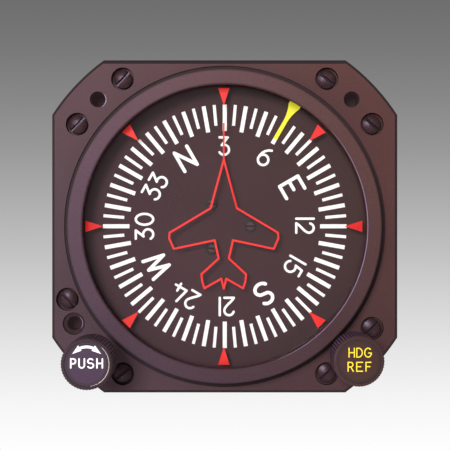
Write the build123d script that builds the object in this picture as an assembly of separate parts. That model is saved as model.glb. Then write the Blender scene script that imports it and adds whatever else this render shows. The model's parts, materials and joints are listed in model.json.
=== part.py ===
from build123d import *
import os
from math import acos, atan2, cos, degrees, hypot, pi, radians, sin, sqrt, tan

# Heading indicator for a 3-1/8 inch panel hole, in millimetres.
# The dial faces -Y, +X is the pilot's right and +Z is up. The origin is the centre of the dial
# on the front face of the flange, which is the face that lies against the back of the panel.
# Everything behind the panel has a positive y.

# General clearances
CUT = 1.0                       # how far a cutter runs past the surface it cuts
RUNNING_CLEARANCE = 0.04        # radial play of a shaft in its bearing
SEAT_CLEARANCE = 0.02           # radial play of a piece pressed or screwed into its seat
SIDE_PLAY = 0.3                 # axial play beside a turning piece

# Flange, drilled on the standard circle
FLANGE_WIDTH = 85.7
FLANGE_HEIGHT = 82.55
FLANGE_CORNER_R = 51.0          # the corners are turned about the dial's centre
FLANGE_THICK = 7.0
FLANGE_EDGE = 0.7
FLANGE_TOP_EDGE = 1.0           # the top edge is broken more than the others
BOLT_CIRCLE_R = 44.45
CORNER_ANGLE = 45.0
MOUNT_HOLE_R = 1.75             # thread's outer radius
MOUNT_HOLE_DEPTH = 5.0
LOWER_MOUNT_ANGLE = 212.85
INSERT_R = 2.75
INSERT_LENGTH = 5.8
INSERT_SUNK = 0.8               # the lower insert shows in its recess
LIP_THICK = 1.2                 # the upper inserts sit behind a lip of the flange
LIP_R = 1.95

# Case screws, in pairs about the corners
CASE_SCREW_SPREAD = 10.3
CASE_SCREW_CIRCLE_R = 44.4
CASE_SCREW_LOW_ANGLE = 204.9    # moved round to make room for the lower mounting hole
CASE_SCREW_LOW_R = 42.9
CASE_SCREW_R = 1.25
CASE_SCREW_HEAD_R = 2.3
CASE_SCREW_HEAD_THICK = 1.4
CASE_SCREW_RECESS_R = 2.85
CASE_SCREW_RECESS_DEPTH = 1.6
CASE_SCREW_LENGTH = 12.5
SLOT_WIDTH = 0.7
SLOT_DEPTH = 0.8
HEAD_DOME = 0.45                # how far a head's rim lies behind its middle

# Bezel ring and glass
GLASS_R = 36.0
GLASS_THICK = 2.0
GLASS_PLAY = 0.2
GLASS_LAP = 1.5                 # how far the ring's lip reaches over the glass
GLASS_GASKET_THICK = 0.5
GLASS_GASKET_WIDTH = 1.2
RETAINER_WIDTH = 0.65
RETAINER_THICK = 1.0
RING_WALL = 1.85                # round the glass
RING_PROUD = 6.0
RING_SEAT = 1.0                 # how deep the ring sits in the flange
RING_LEDGE = 0.85               # width of the ledge that it sits on
RING_GROOVE = 1.7               # shallow groove round the ring
RING_GROOVE_DEPTH = 0.4
RING_EDGE = 0.3
RING_LIP_THICK = 2.1

# Compass card and its hub
CARD_EDGE_GAP = 1.2             # between the card and the bore, for the bug's fold
CARD_FRONT = 2.0
CARD_THICK = 1.0
CARD_SCREW_CIRCLE_R = 6.4
CARD_SCREW_HEAD_R = 1.4
CARD_SCREW_HEAD_THICK = 0.6
CARD_SCREW_R = 0.7
CARD_SCREW_LENGTH = 2.2
CARD_SCREWS = 3
CARD_SLOT_WIDTH = 0.4
CARD_SLOT_DEPTH = 0.35
HUB_FLANGE_R = 8.5
HUB_FLANGE_THICK = 1.6
HUB_TUBE_R = 4.0
CARD_SHAFT_R = 2.0
CARD_SHAFT_TAIL = 4.0           # past the back of the frame's boss

# Heading bug
BUG_ANGLE = 60.0                # set 30 degrees to the right of the top
BUG_GAP = 0.35
BUG_SHEET = 0.35
BUG_REACH = 10.9                # inwards from the card's edge
BUG_TAPER_START = 6.0           # from the card's edge
BUG_TAPER_END = 1.5             # from the card's edge
BUG_STEM_WIDTH = 1.0
BUG_HEAD_WIDTH = 3.0
BUG_WRAP_GAP = 0.4
BUG_LEG_LENGTH = 8.0
BUG_DISC_INSET = 2.0            # inside the card's edge
BUG_DISC_THICK = 1.2
BUG_DISC_HOLES = 8
BUG_DISC_HOLE_R = 6.0
BUG_DISC_HOLE_CIRCLE_R = 21.0
BUG_SLEEVE_R = 6.0
BUG_DISC_GAP = 0.4
BUG_GEAR_FRONT = 12.0

# Spur gears that the knobs turn
MODULE = 0.6
PRESSURE_ANGLE = 20.0
ADDENDUM = 0.8                  # in modules
DEDENDUM = 1.1                  # in modules
BACKLASH = 0.14
GEAR_THICK = 1.6
CARD_GEAR_TEETH = 94
SET_IDLER_TEETH = 20
SET_PINION_TEETH = 14
BUG_GEAR_TEETH = 84
HEADING_IDLER_TEETH = 26
HEADING_PINION_TEETH = 12
GEAR_GAP = 0.6
GEAR_WINDOWS = 6
GEAR_RIM = 2.4
GEAR_HUB_WALL = 1.5
GEAR_SPOKE = 1.8

# Knobs, shafts and carriages
KNOB_R = 6.0
KNOB_LENGTH = 10.4
KNOB_KNURLS = 52
KNURL_DEPTH = 0.16
KNOB_EDGE = 0.5
KNOB_FACE_R = 5.2
KNOB_FACE_DEPTH = 0.8
KNOB_FACE_SUNK = 0.25
KNOB_SHAFT_DEPTH = 7.5
SET_KNOB_REACH = 20.0           # how far the face stands in front of the flange
HEADING_KNOB_REACH = 15.2
SET_TRAVEL = 4.0
HEADING_TRAVEL = 2.4
SHAFT_R = 1.5
SHAFT_TAIL = 0.5
COLLAR_R = 2.4
COLLAR_THICK = 0.8
BUSH_R = 3.0
BUSH_FLANGE_R = 4.4
BUSH_FLANGE_THICK = 1.0
PINION_OVERHANG = 0.1
CARRIAGE_THICK = 1.5
CARRIAGE_GAP = 0.3
EYE_R = 2.2
SHAFT_EYE_R = 3.4
IDLER_PIN_R = 1.0
IDLER_PIN_HEAD_R = 1.8
IDLER_PIN_HEAD_THICK = 0.5
POST_R = 1.0
POST_OUT = 37.0                 # along the line from the dial's centre through the knob
POST_ASIDE = 10.5               # square to that line, towards the bottom
POST_SUNK = 2.0
ARM_WIDTH = 3.2
SPRING_WIRE_R = 0.25
SPRING_R = 1.6
SPRING_TURNS = 6

# Case
GASKET_THICK = 0.5
CASE_INSET = 0.3
HOUSING_WALL = 2.0
HOUSING_CORNER_WALL = 1.15
HOUSING_BACK = 22.0
HOUSING_BACK_WALL = 2.0
HOUSING_EDGE = 1.2
BOSS_R = 2.6
BOSS_LENGTH = 8.0
BARREL_STEP = 0.475             # from the housing's side in to the barrel's
BARREL_CORNER_STEP = 0.5
BARREL_WALL = 1.8
BARREL_BACK = 92.0
COVER_BOSS_R = 3.0
COVER_BOSS_LENGTH = 8.0
COVER_SCREW_INSET = 7.9         # from the barrel's side
COVER_SCREW_R = 1.25
COVER_SCREW_HEAD_R = 2.4
COVER_SCREW_HEAD_THICK = 1.3
COVER_SCREW_LENGTH = 8.0

# Rear cover, air filter and vacuum fitting
COVER_THICK = 3.0
COVER_EDGE = 0.8
CUP_Z = 17.0
CUP_R = 20.0
CUP_WALL = 1.6
CUP_DEPTH = 9.0
FILTER_THICK = 5.0
FILTER_PLAY = 0.2
SCREEN_THICK = 0.8
SCREEN_SUNK = 1.0
SCREEN_HOLE_R = 1.5
SCREEN_RING_HOLES = 6           # in the first ring of holes, and as many more in each further one
SCREEN_RING_RADII = (5.5, 10.5, 15.2)
FITTING_Z = -21.0
FITTING_BOSS_R = 10.5
FITTING_BOSS_LENGTH = 12.0
FITTING_R = 8.4
FITTING_BORE_R = 6.6
FITTING_DEPTH = 12.0
FITTING_FLANGE_R = 9.6
FITTING_FLANGE_THICK = 1.5
AIR_HOLE_R = 4.0

# Gyro: gimbals and rotor
GIMBAL_Y = 60.0
ROTOR_R = 16.0
ROTOR_WIDTH = 13.0
ROTOR_HUB_R = 4.5
ROTOR_WEB = 4.0
ROTOR_RIM_INNER_R = 10.0
BUCKETS = 24
BUCKET_R = 1.5
BUCKET_LENGTH = 7.0
ROTOR_SHAFT_R = 1.5
ROTOR_GAP = 0.4
CAGE_SIDE_GAP = 2.2
CAGE_BAR = 2.0
CAGE_BAR_Y = 2.5
CAGE_WIDTH = 8.0
CAGE_CORNER_R = 5.0
CAGE_INNER_CORNER_R = 1.0
TILT_BAR = 2.6
TILT_PIVOT_R = 1.5
TILT_PIVOT_SUNK = 1.5
SMALL_BEARING_R = 3.5
SMALL_BEARING_WIDTH = 2.2
BEARING_BOSS_R = 4.6
BEARING_BOSS_PROUD = 0.6        # inside the cage, towards the rotor
GIMBAL_GAP = 0.6
GIMBAL_BAR = 3.2
GIMBAL_DEPTH = 9.0
GIMBAL_CORNER_R = 5.0
GIMBAL_SWEEP_GAP = 1.1
NOZZLE_X = 14.0
NOZZLE_R = 1.5
NOZZLE_BORE_R = 0.5
NOZZLE_TIP_Z = 12.7

# Bevel gears that carry the heading from the gimbal to the card
BEVEL_TEETH = 68
BEVEL_PITCH_R = 27.2            # at the large end, and also the distance to the gimbal's centre
BEVEL_FACE = 1.9
BEVEL_TIP = 1.035               # tooth tips and roots, as shares of the pitch cone
BEVEL_ROOT = 0.957
BEVEL_BACKLASH = 0.14
BEVEL_WEB = 1.6
BEVEL_RIM_R = 22.6
BEVEL_WINDOWS = 6
BEVEL_WINDOW_R = 5.2
BEVEL_WINDOW_CIRCLE_R = 14.5
AZIMUTH_HUB_R = 6.5
CROWN_HUB_R = 4.5

# Bearings
CARD_BEARING_R = 4.5
CARD_BEARING_WIDTH = 2.5
GIMBAL_PIVOT_R = 2.5
GIMBAL_PIVOT_FLANGE = 1.0
GIMBAL_PIVOT_SHORT = 0.2        # its end, inside the frame arm's outer face
GIMBAL_BEARING_R = 5.0
GIMBAL_BEARING_WIDTH = 3.0
RACE = 0.8
SHIELD_GAP = 0.1

# Mechanism frame
BULKHEAD_FRONT = 24.0
BULKHEAD_THICK = 4.0
FRAME_INSET = 0.2
FRAME_BOSS_R = 8.0
FRAME_BOSS_FRONT = 18.3
FRAME_BOSS_BACK = 30.6
FRAME_WINDOW_INNER_R = 13.0
FRAME_WINDOW_OUTER_R = 27.5
FRAME_WINDOW_BAR = 18.0
FRAME_ARM_Z = 29.6
FRAME_ARM_THICK = 3.4
FRAME_ARM_WIDTH = 16.0
FRAME_SCREW_X = 20.0
FRAME_SCREW_R = 1.2
FRAME_SCREW_HEAD_R = 2.3
FRAME_SCREW_SINK = 1.1
FRAME_SCREW_LENGTH = 6.5
RIB_DEPTH = 4.0

# Caging linkage, worked by the set knob's push
CAGING_X = -29.5
CAGING_ROD_Z = -17.0
CAGING_ROD_R = 1.0
CAGING_EYE_R = 2.0
CAGING_ROD_PLAY = 0.15          # radial, where the rod passes the bulkhead
LEVER_Z = -36.1
LEVER_BACK = 6.0                # from the plunger's axis to the cross shaft
LEVER_SHAFT_R = 0.8
LEVER_ARM_WIDTH = 1.8
LEVER_ARM_THICK = 1.8
LEVER_ARM_TOP = 1.5
LEVER_TOE_WIDTH = 2.4
LEVER_TOE_THICK = 1.4
LEVER_TOE_OVER = 0.8
LEVER_GAP = 0.3
EAR_THICK = 2.0
EAR_LEFT_X = -26.5
EAR_RIGHT_X = 5.0
EAR_DROP = 2.1
PLUNGER_R = 1.2
PLUNGER_BORE_R = 1.35
PLUNGER_FOOT_R = 2.2
PLUNGER_FOOT_THICK = 0.6
PLUNGER_TIP_GAP = 0.3

# Air duct from the filter to the upper pivot
DUCT_Z = 35.2
DUCT_R = 1.8
DUCT_BORE_R = 1.1
DUCT_CAP_R = 4.2
DUCT_CAP_THICK = 4.4

# Places that follow from the values above
RING_INNER_R = GLASS_R - GLASS_LAP
RING_OUTER_R = GLASS_R + GLASS_PLAY + RING_WALL
BORE_R = RING_OUTER_R - RING_LEDGE
CARD_R = BORE_R - CARD_EDGE_GAP
BUG_DISC_R = CARD_R - BUG_DISC_INSET
BARREL_SIZE = FLANGE_HEIGHT - 2 * (CASE_INSET + BARREL_STEP)
BARREL_CORNER_R = FLANGE_CORNER_R - CASE_INSET - BARREL_CORNER_STEP
COVER_SCREW_PLACE = BARREL_SIZE / 2 - COVER_SCREW_INSET
LIP_BACK = RING_LIP_THICK - RING_PROUD
GLASS_FRONT = LIP_BACK + GLASS_GASKET_THICK
GLASS_BACK = GLASS_FRONT + GLASS_THICK
CARD_BACK = CARD_FRONT + CARD_THICK
BUG_DISC_FRONT = CARD_BACK + HUB_FLANGE_THICK + BUG_DISC_GAP
BUG_GEAR_BACK = BUG_GEAR_FRONT + GEAR_THICK
CARD_GEAR_FRONT = BUG_GEAR_BACK + GEAR_GAP
CARD_GEAR_BACK = CARD_GEAR_FRONT + GEAR_THICK
CARD_GEAR_R = MODULE * CARD_GEAR_TEETH / 2
BUG_GEAR_R = MODULE * BUG_GEAR_TEETH / 2
SET_IDLER_OUT = CARD_GEAR_R + MODULE * SET_IDLER_TEETH / 2
HEADING_IDLER_OUT = BUG_GEAR_R + MODULE * HEADING_IDLER_TEETH / 2
KNOB_OUT = SET_IDLER_OUT + MODULE * (SET_IDLER_TEETH + SET_PINION_TEETH) / 2
CASE_FRONT = FLANGE_THICK + GASKET_THICK
BULKHEAD_BACK = BULKHEAD_FRONT + BULKHEAD_THICK
COVER_BACK = BARREL_BACK + COVER_THICK
CAGE_INNER_Z = ROTOR_R + ROTOR_GAP
CAGE_OUTER_Z = CAGE_INNER_Z + CAGE_BAR
CAGE_INNER_Y = ROTOR_WIDTH / 2 + CAGE_SIDE_GAP
CAGE_OUTER_Y = CAGE_INNER_Y + CAGE_BAR_Y
TILT_INNER_X = ROTOR_R + GIMBAL_GAP
TILT_OUTER_X = TILT_INNER_X + TILT_BAR
CAGE_SWEEP_R = hypot(CAGE_OUTER_Y - CAGE_CORNER_R, CAGE_OUTER_Z - CAGE_CORNER_R) + CAGE_CORNER_R
GIMBAL_INNER_X = TILT_OUTER_X + GIMBAL_GAP
GIMBAL_OUTER_X = GIMBAL_INNER_X + GIMBAL_BAR
GIMBAL_INNER_Z = CAGE_SWEEP_R + GIMBAL_SWEEP_GAP
GIMBAL_OUTER_Z = GIMBAL_INNER_Z + GIMBAL_BAR
BEVEL_BACK_Z = BEVEL_PITCH_R + BEVEL_WEB
FRAME_ARM_OUTER_Z = FRAME_ARM_Z + FRAME_ARM_THICK
PIVOT_END_Z = FRAME_ARM_OUTER_Z - GIMBAL_PIVOT_SHORT
LEVER_Y = GIMBAL_Y + LEVER_BACK
LEVER_ARM_LENGTH = CAGING_ROD_Z - LEVER_Z
PLUNGER_LIFT = SET_TRAVEL * LEVER_BACK / LEVER_ARM_LENGTH
PLUNGER_TOP = -CAGE_SWEEP_R - PLUNGER_TIP_GAP - PLUNGER_LIFT
PLUNGER_FOOT = LEVER_Z + LEVER_TOE_THICK / 2 + LEVER_GAP


# Shapes used by many pieces

def turned(points):
    """Solid turned about the Y axis, from (radius, y) points."""
    return revolve(make_face(Polyline(*points, close=True)), Axis.Y)


def bar(radius, front, back):
    """Round bar along Y."""
    return Pos(0, (front + back) / 2, 0) * Rot(90, 0, 0) * Cylinder(radius, back - front)


def sleeve(outer, inner, front, back):
    """Tube along Y."""
    return bar(outer, front, back) - bar(inner, front - CUT, back + CUT)


def plate(profile, front, back):
    """Plate between two y places; its profile is drawn as the pilot sees it."""
    return Pos(0, back, 0) * extrude(Plane.XZ * profile, amount=back - front)


def block(x_low, x_high, y_low, y_high, z_low, z_high):
    """Box between two corners."""
    centre = Pos((x_low + x_high) / 2, (y_low + y_high) / 2, (z_low + z_high) / 2)
    return centre * Box(x_high - x_low, y_high - y_low, z_high - z_low)


def upright(solid):
    """Stand a solid that was made along Y on the gimbal's vertical axis, y becoming z."""
    return Pos(0, GIMBAL_Y, 0) * Rot(90, 0, 0) * solid


def across(solid):
    """Lay a solid that was made along Y on the gimbal's tilt axis, y becoming x."""
    return Pos(0, GIMBAL_Y, 0) * Rot(0, 0, -90) * solid


def on_circle(radius, angle):
    """Location at an angle on a circle round the Y axis, anticlockwise from the pilot's right."""
    return Pos(radius * cos(radians(angle)), 0, radius * sin(radians(angle)))


def outline(width, height, corner_r):
    """Rectangle whose corners are turned off about the centre."""
    return Rectangle(width, height) & Circle(corner_r)


def case_screw_places():
    """The eight case screws: a pair about each corner, with one moved."""
    places = []
    for corner in range(4):
        middle = CORNER_ANGLE + 90.0 * corner
        for side in (-1, 1):
            angle = middle + side * CASE_SCREW_SPREAD
            if corner == 2 and side == -1:
                places.append(on_circle(CASE_SCREW_LOW_R, CASE_SCREW_LOW_ANGLE))
            else:
                places.append(on_circle(CASE_SCREW_CIRCLE_R, angle))
    return places


def case_screw_slots():
    """Angle of each case screw's slot, as the screws happen to stand."""
    return (42.0, 41.0, -47.0, -46.0, 44.0, -38.0, -43.0, -45.0)


def slotted_screw(head_r, head_thick, shank_r, length, slot_width, slot_depth, dome, slot_angle):
    """Screw along Y with a domed head whose underside is at y = 0."""
    dome_r = (head_r ** 2 + dome ** 2) / (2 * dome)
    halfway = dome_r - sqrt(dome_r ** 2 - (head_r / 2) ** 2) - head_thick
    rim = (head_r, dome - head_thick)
    top = ThreePointArc((0, -head_thick), (head_r / 2, halfway), rim)
    rest = Polyline(rim, (head_r, 0), (shank_r, 0), (shank_r, length), (0, length), (0, -head_thick))
    screw = revolve(make_face([top, rest]), Axis.Y)
    slot = block(-head_r - CUT, head_r + CUT, -head_thick - CUT, slot_depth - head_thick,
                 -slot_width / 2, slot_width / 2)
    return screw - Rot(0, slot_angle, 0) * slot


def tooth_half_angle(teeth, module, radius, backlash):
    """Half the angle that an involute tooth fills at a radius, in degrees."""
    pitch_r = teeth * module / 2
    base_r = pitch_r * cos(radians(PRESSURE_ANGLE))

    def involute(at_r):
        angle = acos(min(1.0, base_r / at_r))
        return tan(angle) - angle

    at_pitch = (pi * module - backlash) / (4 * pitch_r)
    return degrees(at_pitch + involute(pitch_r) - involute(max(radius, base_r)))


def gear_outline(teeth, module, radii, backlash, first_tooth):
    """Toothed outline; the radii run from root to tip and a tooth points at first_tooth."""
    points = []
    for tooth in range(teeth):
        centre = first_tooth + 360.0 * tooth / teeth
        rising = [(radius, -1) for radius in radii]
        falling = [(radius, 1) for radius in reversed(radii)]
        for radius, side in rising + falling:
            angle = radians(centre + side * tooth_half_angle(teeth, module, radius, backlash))
            points.append((radius * cos(angle), radius * sin(angle)))
    return make_face(Polyline(*points, close=True))


def spur_outline(teeth, first_tooth, fine):
    """Outline of one of the knob gears; the fine ones have a point at the pitch line too."""
    pitch_r = MODULE * teeth / 2
    radii = [pitch_r - DEDENDUM * MODULE, pitch_r + ADDENDUM * MODULE]
    if fine:
        radii.insert(1, pitch_r)
    return gear_outline(teeth, MODULE, radii, BACKLASH, first_tooth)


def bevel_rim(first_tooth):
    """Toothed rim of a 45 degree bevel gear about Z, with the cone's tip at the origin."""
    module = 2 * BEVEL_PITCH_R / BEVEL_TEETH
    radii = [BEVEL_PITCH_R * BEVEL_ROOT, BEVEL_PITCH_R * BEVEL_TIP]
    large = gear_outline(BEVEL_TEETH, module, radii, BEVEL_BACKLASH, first_tooth)
    small_z = BEVEL_PITCH_R - BEVEL_FACE
    small = scale(large, by=small_z / BEVEL_PITCH_R)
    cone = loft([Pos(0, 0, small_z) * small, Pos(0, 0, BEVEL_PITCH_R) * large], ruled=True)
    bore = Pos(0, 0, BEVEL_PITCH_R) * Cylinder(BEVEL_RIM_R, 2 * BEVEL_FACE + CUT)
    return cone - bore


def bevel_gear(first_tooth, hub_r, hub_reach, bore_r):
    """Whole bevel gear: toothed rim, web with round windows and a hub."""
    web_r = BEVEL_PITCH_R * BEVEL_ROOT
    web = Pos(0, 0, BEVEL_PITCH_R + BEVEL_WEB / 2) * Cylinder(web_r, BEVEL_WEB)
    window = Pos(0, 0, BEVEL_PITCH_R) * Cylinder(BEVEL_WINDOW_R, 4 * BEVEL_WEB)
    web -= PolarLocations(BEVEL_WINDOW_CIRCLE_R, BEVEL_WINDOWS) * window
    hub_low = BEVEL_BACK_Z - BEVEL_WEB - hub_reach
    hub = Pos(0, 0, (hub_low + BEVEL_BACK_Z) / 2) * Cylinder(hub_r, BEVEL_BACK_Z - hub_low)
    gear = bevel_rim(first_tooth) + web + hub
    return gear - Pos(0, 0, BEVEL_PITCH_R) * Cylinder(bore_r, 4 * BEVEL_PITCH_R)


def outer_ring(outer_r, shaft_r, front, back):
    """Fixed ring of a shielded ball bearing, with its two shields, along Y."""
    race_r = outer_r - RACE
    shield_r = shaft_r + RACE + SHIELD_GAP
    shield = RACE / 2
    return turned([(outer_r, front), (outer_r, back), (shield_r, back), (shield_r, back - shield),
                   (race_r, back - shield), (race_r, front + shield), (shield_r, front + shield),
                   (shield_r, front)])


def inner_ring(shaft_r, front, back):
    """Turning ring of a shielded ball bearing, along Y."""
    return sleeve(shaft_r + RACE, shaft_r, front, back)


# Front: flange, bezel, glass and their fasteners

def front_plate():
    """Flange plate with the bezel's seat, the screw recesses and the seats of the mounting inserts."""
    solid = plate(outline(FLANGE_WIDTH, FLANGE_HEIGHT, FLANGE_CORNER_R), 0, FLANGE_THICK)
    front_edges = solid.faces().sort_by(Axis.Y)[0].edges().sort_by(Axis.Z)
    solid = chamfer(front_edges[:-1], FLANGE_EDGE)
    top_edge = solid.faces().sort_by(Axis.Y)[0].edges().sort_by(Axis.Z)[-1]
    solid = chamfer(top_edge, FLANGE_TOP_EDGE)
    solid -= bar(RING_OUTER_R + RING_GROOVE, -CUT, RING_GROOVE_DEPTH)
    solid -= bar(RING_OUTER_R + SEAT_CLEARANCE, -CUT, RING_SEAT)
    solid -= bar(BORE_R, -CUT, FLANGE_THICK + CUT)
    for place in case_screw_places():
        solid -= place * bar(CASE_SCREW_RECESS_R, -CUT, CASE_SCREW_RECESS_DEPTH)
        solid -= place * bar(CASE_SCREW_R + SEAT_CLEARANCE, 0, FLANGE_THICK + CUT)
    for place, front in insert_places():
        recess = front if front > INSERT_SUNK else -CUT
        solid -= place * bar(INSERT_R + SEAT_CLEARANCE, recess, FLANGE_THICK + CUT)
        solid -= place * bar(LIP_R, -CUT, front + CUT)
    for side in (-1, 1):
        solid -= knob_place(side) * bar(BUSH_R + SEAT_CLEARANCE, -CUT, FLANGE_THICK + CUT)
        solid -= post_place(side) * bar(POST_R + SEAT_CLEARANCE, FLANGE_THICK - POST_SUNK, CASE_FRONT)
    return solid


def insert_places():
    """Axis and front of each mounting insert: two upper ones behind a lip and a lower one in the open."""
    upper = [(on_circle(BOLT_CIRCLE_R, angle), LIP_THICK) for angle in (CORNER_ANGLE, 180.0 - CORNER_ANGLE)]
    return upper + [(on_circle(BOLT_CIRCLE_R, LOWER_MOUNT_ANGLE), INSERT_SUNK)]


def mounting_inserts():
    """Three closed threaded inserts for the panel screws."""
    inserts = []
    for place, front in insert_places():
        back = front + INSERT_LENGTH
        floor = front + MOUNT_HOLE_DEPTH
        insert = turned([(MOUNT_HOLE_R, front), (INSERT_R, front), (INSERT_R, back),
                         (0, back), (0, floor), (MOUNT_HOLE_R, floor)])
        inserts.append(place * insert)
    return Compound(children=inserts)


def bezel_ring():
    """Raised ring that frames the dial and holds the glass against its lip."""
    front = -RING_PROUD
    rebate_r = GLASS_R + GLASS_PLAY
    return turned([(RING_INNER_R + RING_EDGE, front), (RING_OUTER_R - RING_EDGE, front),
                   (RING_OUTER_R, front + RING_EDGE), (RING_OUTER_R, RING_SEAT),
                   (rebate_r, RING_SEAT), (rebate_r, LIP_BACK),
                   (RING_INNER_R, LIP_BACK), (RING_INNER_R, front + RING_EDGE)])


def glass_gasket():
    """Flat rubber ring between the lip and the glass."""
    return sleeve(GLASS_R, GLASS_R - GLASS_GASKET_WIDTH, LIP_BACK, GLASS_FRONT)


def cover_glass():
    """Flat glass over the dial."""
    return bar(GLASS_R, GLASS_FRONT, GLASS_BACK)


def glass_retaining_ring():
    """Snap ring behind the glass."""
    outer = GLASS_R + GLASS_PLAY
    return sleeve(outer, outer - RETAINER_WIDTH, GLASS_BACK, GLASS_BACK + RETAINER_THICK)


def case_screws():
    """Eight slotted screws that draw the front plate and the case together."""
    screws = []
    for place, slot_angle in zip(case_screw_places(), case_screw_slots()):
        screw = slotted_screw(CASE_SCREW_HEAD_R, CASE_SCREW_HEAD_THICK, CASE_SCREW_R, CASE_SCREW_LENGTH,
                              SLOT_WIDTH, SLOT_DEPTH, HEAD_DOME, slot_angle)
        screws.append(place * Pos(0, CASE_SCREW_RECESS_DEPTH, 0) * screw)
    return Compound(children=screws)


def case_gasket():
    """Gasket between the front plate and the case, cut to the rim and its screw bosses."""
    return case_ring(FLANGE_THICK, CASE_FRONT) - Compound(
        children=[place * bar(CASE_SCREW_R + SEAT_CLEARANCE, 0, 2 * CASE_FRONT)
                  for place in case_screw_places()])


def case_ring(front, back):
    """Rim of the front housing with the eight screw bosses, between two y places."""
    outer = outline(FLANGE_WIDTH - 2 * CASE_INSET, FLANGE_HEIGHT - 2 * CASE_INSET,
                    FLANGE_CORNER_R - CASE_INSET)
    inner = outline(FLANGE_WIDTH - 2 * (CASE_INSET + HOUSING_WALL),
                    FLANGE_HEIGHT - 2 * (CASE_INSET + HOUSING_WALL),
                    FLANGE_CORNER_R - CASE_INSET - HOUSING_CORNER_WALL)
    profile = outer - inner
    for place in case_screw_places():
        centre = place.position
        away = Rot(0, 0, degrees(atan2(centre.Z, centre.X)))
        web = Pos(centre.X, centre.Z) * away * Pos(BOSS_R, 0) * Rectangle(2 * BOSS_R, 2 * BOSS_R)
        profile += (Pos(centre.X, centre.Z) * Circle(BOSS_R) + web) & outer
    return plate(profile, front, back)


# Case and rear cover

def barrel_outline(inset):
    """Outline of the rear part of the case, drawn in by an inset."""
    return outline(BARREL_SIZE - 2 * inset, BARREL_SIZE - 2 * inset, BARREL_CORNER_R - inset)


def cover_screw_places():
    """The four rear cover screws, one in each corner."""
    return [Pos(x, 0, z) for x in (-COVER_SCREW_PLACE, COVER_SCREW_PLACE)
            for z in (-COVER_SCREW_PLACE, COVER_SCREW_PLACE)]


def frame_screw_places():
    """The four screws that hold the mechanism frame, two through the top and two through the bottom."""
    middle = (BULKHEAD_FRONT + BULKHEAD_BACK) / 2
    return [Pos(x, middle, 0) * Rot(turn, 0, 0) for x in (-FRAME_SCREW_X, FRAME_SCREW_X)
            for turn in (-90, 90)]


def main_case():
    """Case: a wide front housing for the gear work and a slightly narrower barrel behind it."""
    outer = outline(FLANGE_WIDTH - 2 * CASE_INSET, FLANGE_HEIGHT - 2 * CASE_INSET,
                    FLANGE_CORNER_R - CASE_INSET)
    solid = case_ring(CASE_FRONT, CASE_FRONT + BOSS_LENGTH)
    rim_outer = plate(outer, CASE_FRONT, HOUSING_BACK)
    rim_outer = chamfer(rim_outer.faces().sort_by(Axis.Y)[-1].edges(), HOUSING_EDGE)
    inner = outline(FLANGE_WIDTH - 2 * (CASE_INSET + HOUSING_WALL),
                    FLANGE_HEIGHT - 2 * (CASE_INSET + HOUSING_WALL),
                    FLANGE_CORNER_R - CASE_INSET - HOUSING_CORNER_WALL)
    rim = rim_outer - plate(inner, CASE_FRONT - CUT, HOUSING_BACK - HOUSING_BACK_WALL)
    barrel = plate(barrel_outline(0), HOUSING_BACK - HOUSING_BACK_WALL, BARREL_BACK)
    for place in cover_screw_places():
        solid += place * bar(COVER_BOSS_R, BARREL_BACK - COVER_BOSS_LENGTH, BARREL_BACK) & barrel
    hollow = plate(barrel_outline(BARREL_WALL), HOUSING_BACK - HOUSING_BACK_WALL - CUT, BARREL_BACK + CUT)
    solid += rim - hollow
    solid += barrel - hollow
    for place in case_screw_places():
        solid -= place * bar(CASE_SCREW_R + SEAT_CLEARANCE, 0, CASE_FRONT + BOSS_LENGTH)
    for place in cover_screw_places():
        solid -= place * bar(COVER_SCREW_R + SEAT_CLEARANCE, BARREL_BACK - COVER_BOSS_LENGTH - CUT,
                             BARREL_BACK + CUT)
    for place in frame_screw_places():
        solid -= place * frame_screw_cutter()
    return solid


def frame_screw_cutter():
    """Countersunk hole for one frame screw, from the case's outside inwards along -Y."""
    outside = BARREL_SIZE / 2
    shank_r = FRAME_SCREW_R + SEAT_CLEARANCE
    head_r = FRAME_SCREW_HEAD_R + SEAT_CLEARANCE
    deep = outside - FRAME_SCREW_LENGTH - FRAME_SCREW_SINK
    return turned([(0, outside + CUT), (head_r, outside + CUT), (head_r, outside),
                   (shank_r, outside - FRAME_SCREW_SINK), (shank_r, deep), (0, deep)])


def frame_screws():
    """Four countersunk screws through the case into the bulkhead's edge."""
    outside = BARREL_SIZE / 2
    deep = outside - FRAME_SCREW_LENGTH
    screw = turned([(0, outside), (FRAME_SCREW_HEAD_R, outside),
                    (FRAME_SCREW_R, outside - FRAME_SCREW_SINK), (FRAME_SCREW_R, deep), (0, deep)])
    slot = block(-BOLT_CIRCLE_R, BOLT_CIRCLE_R, outside - SLOT_DEPTH, outside + CUT,
                 -SLOT_WIDTH / 2, SLOT_WIDTH / 2)
    screw -= slot
    return Compound(children=[place * screw for place in frame_screw_places()])


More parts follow.
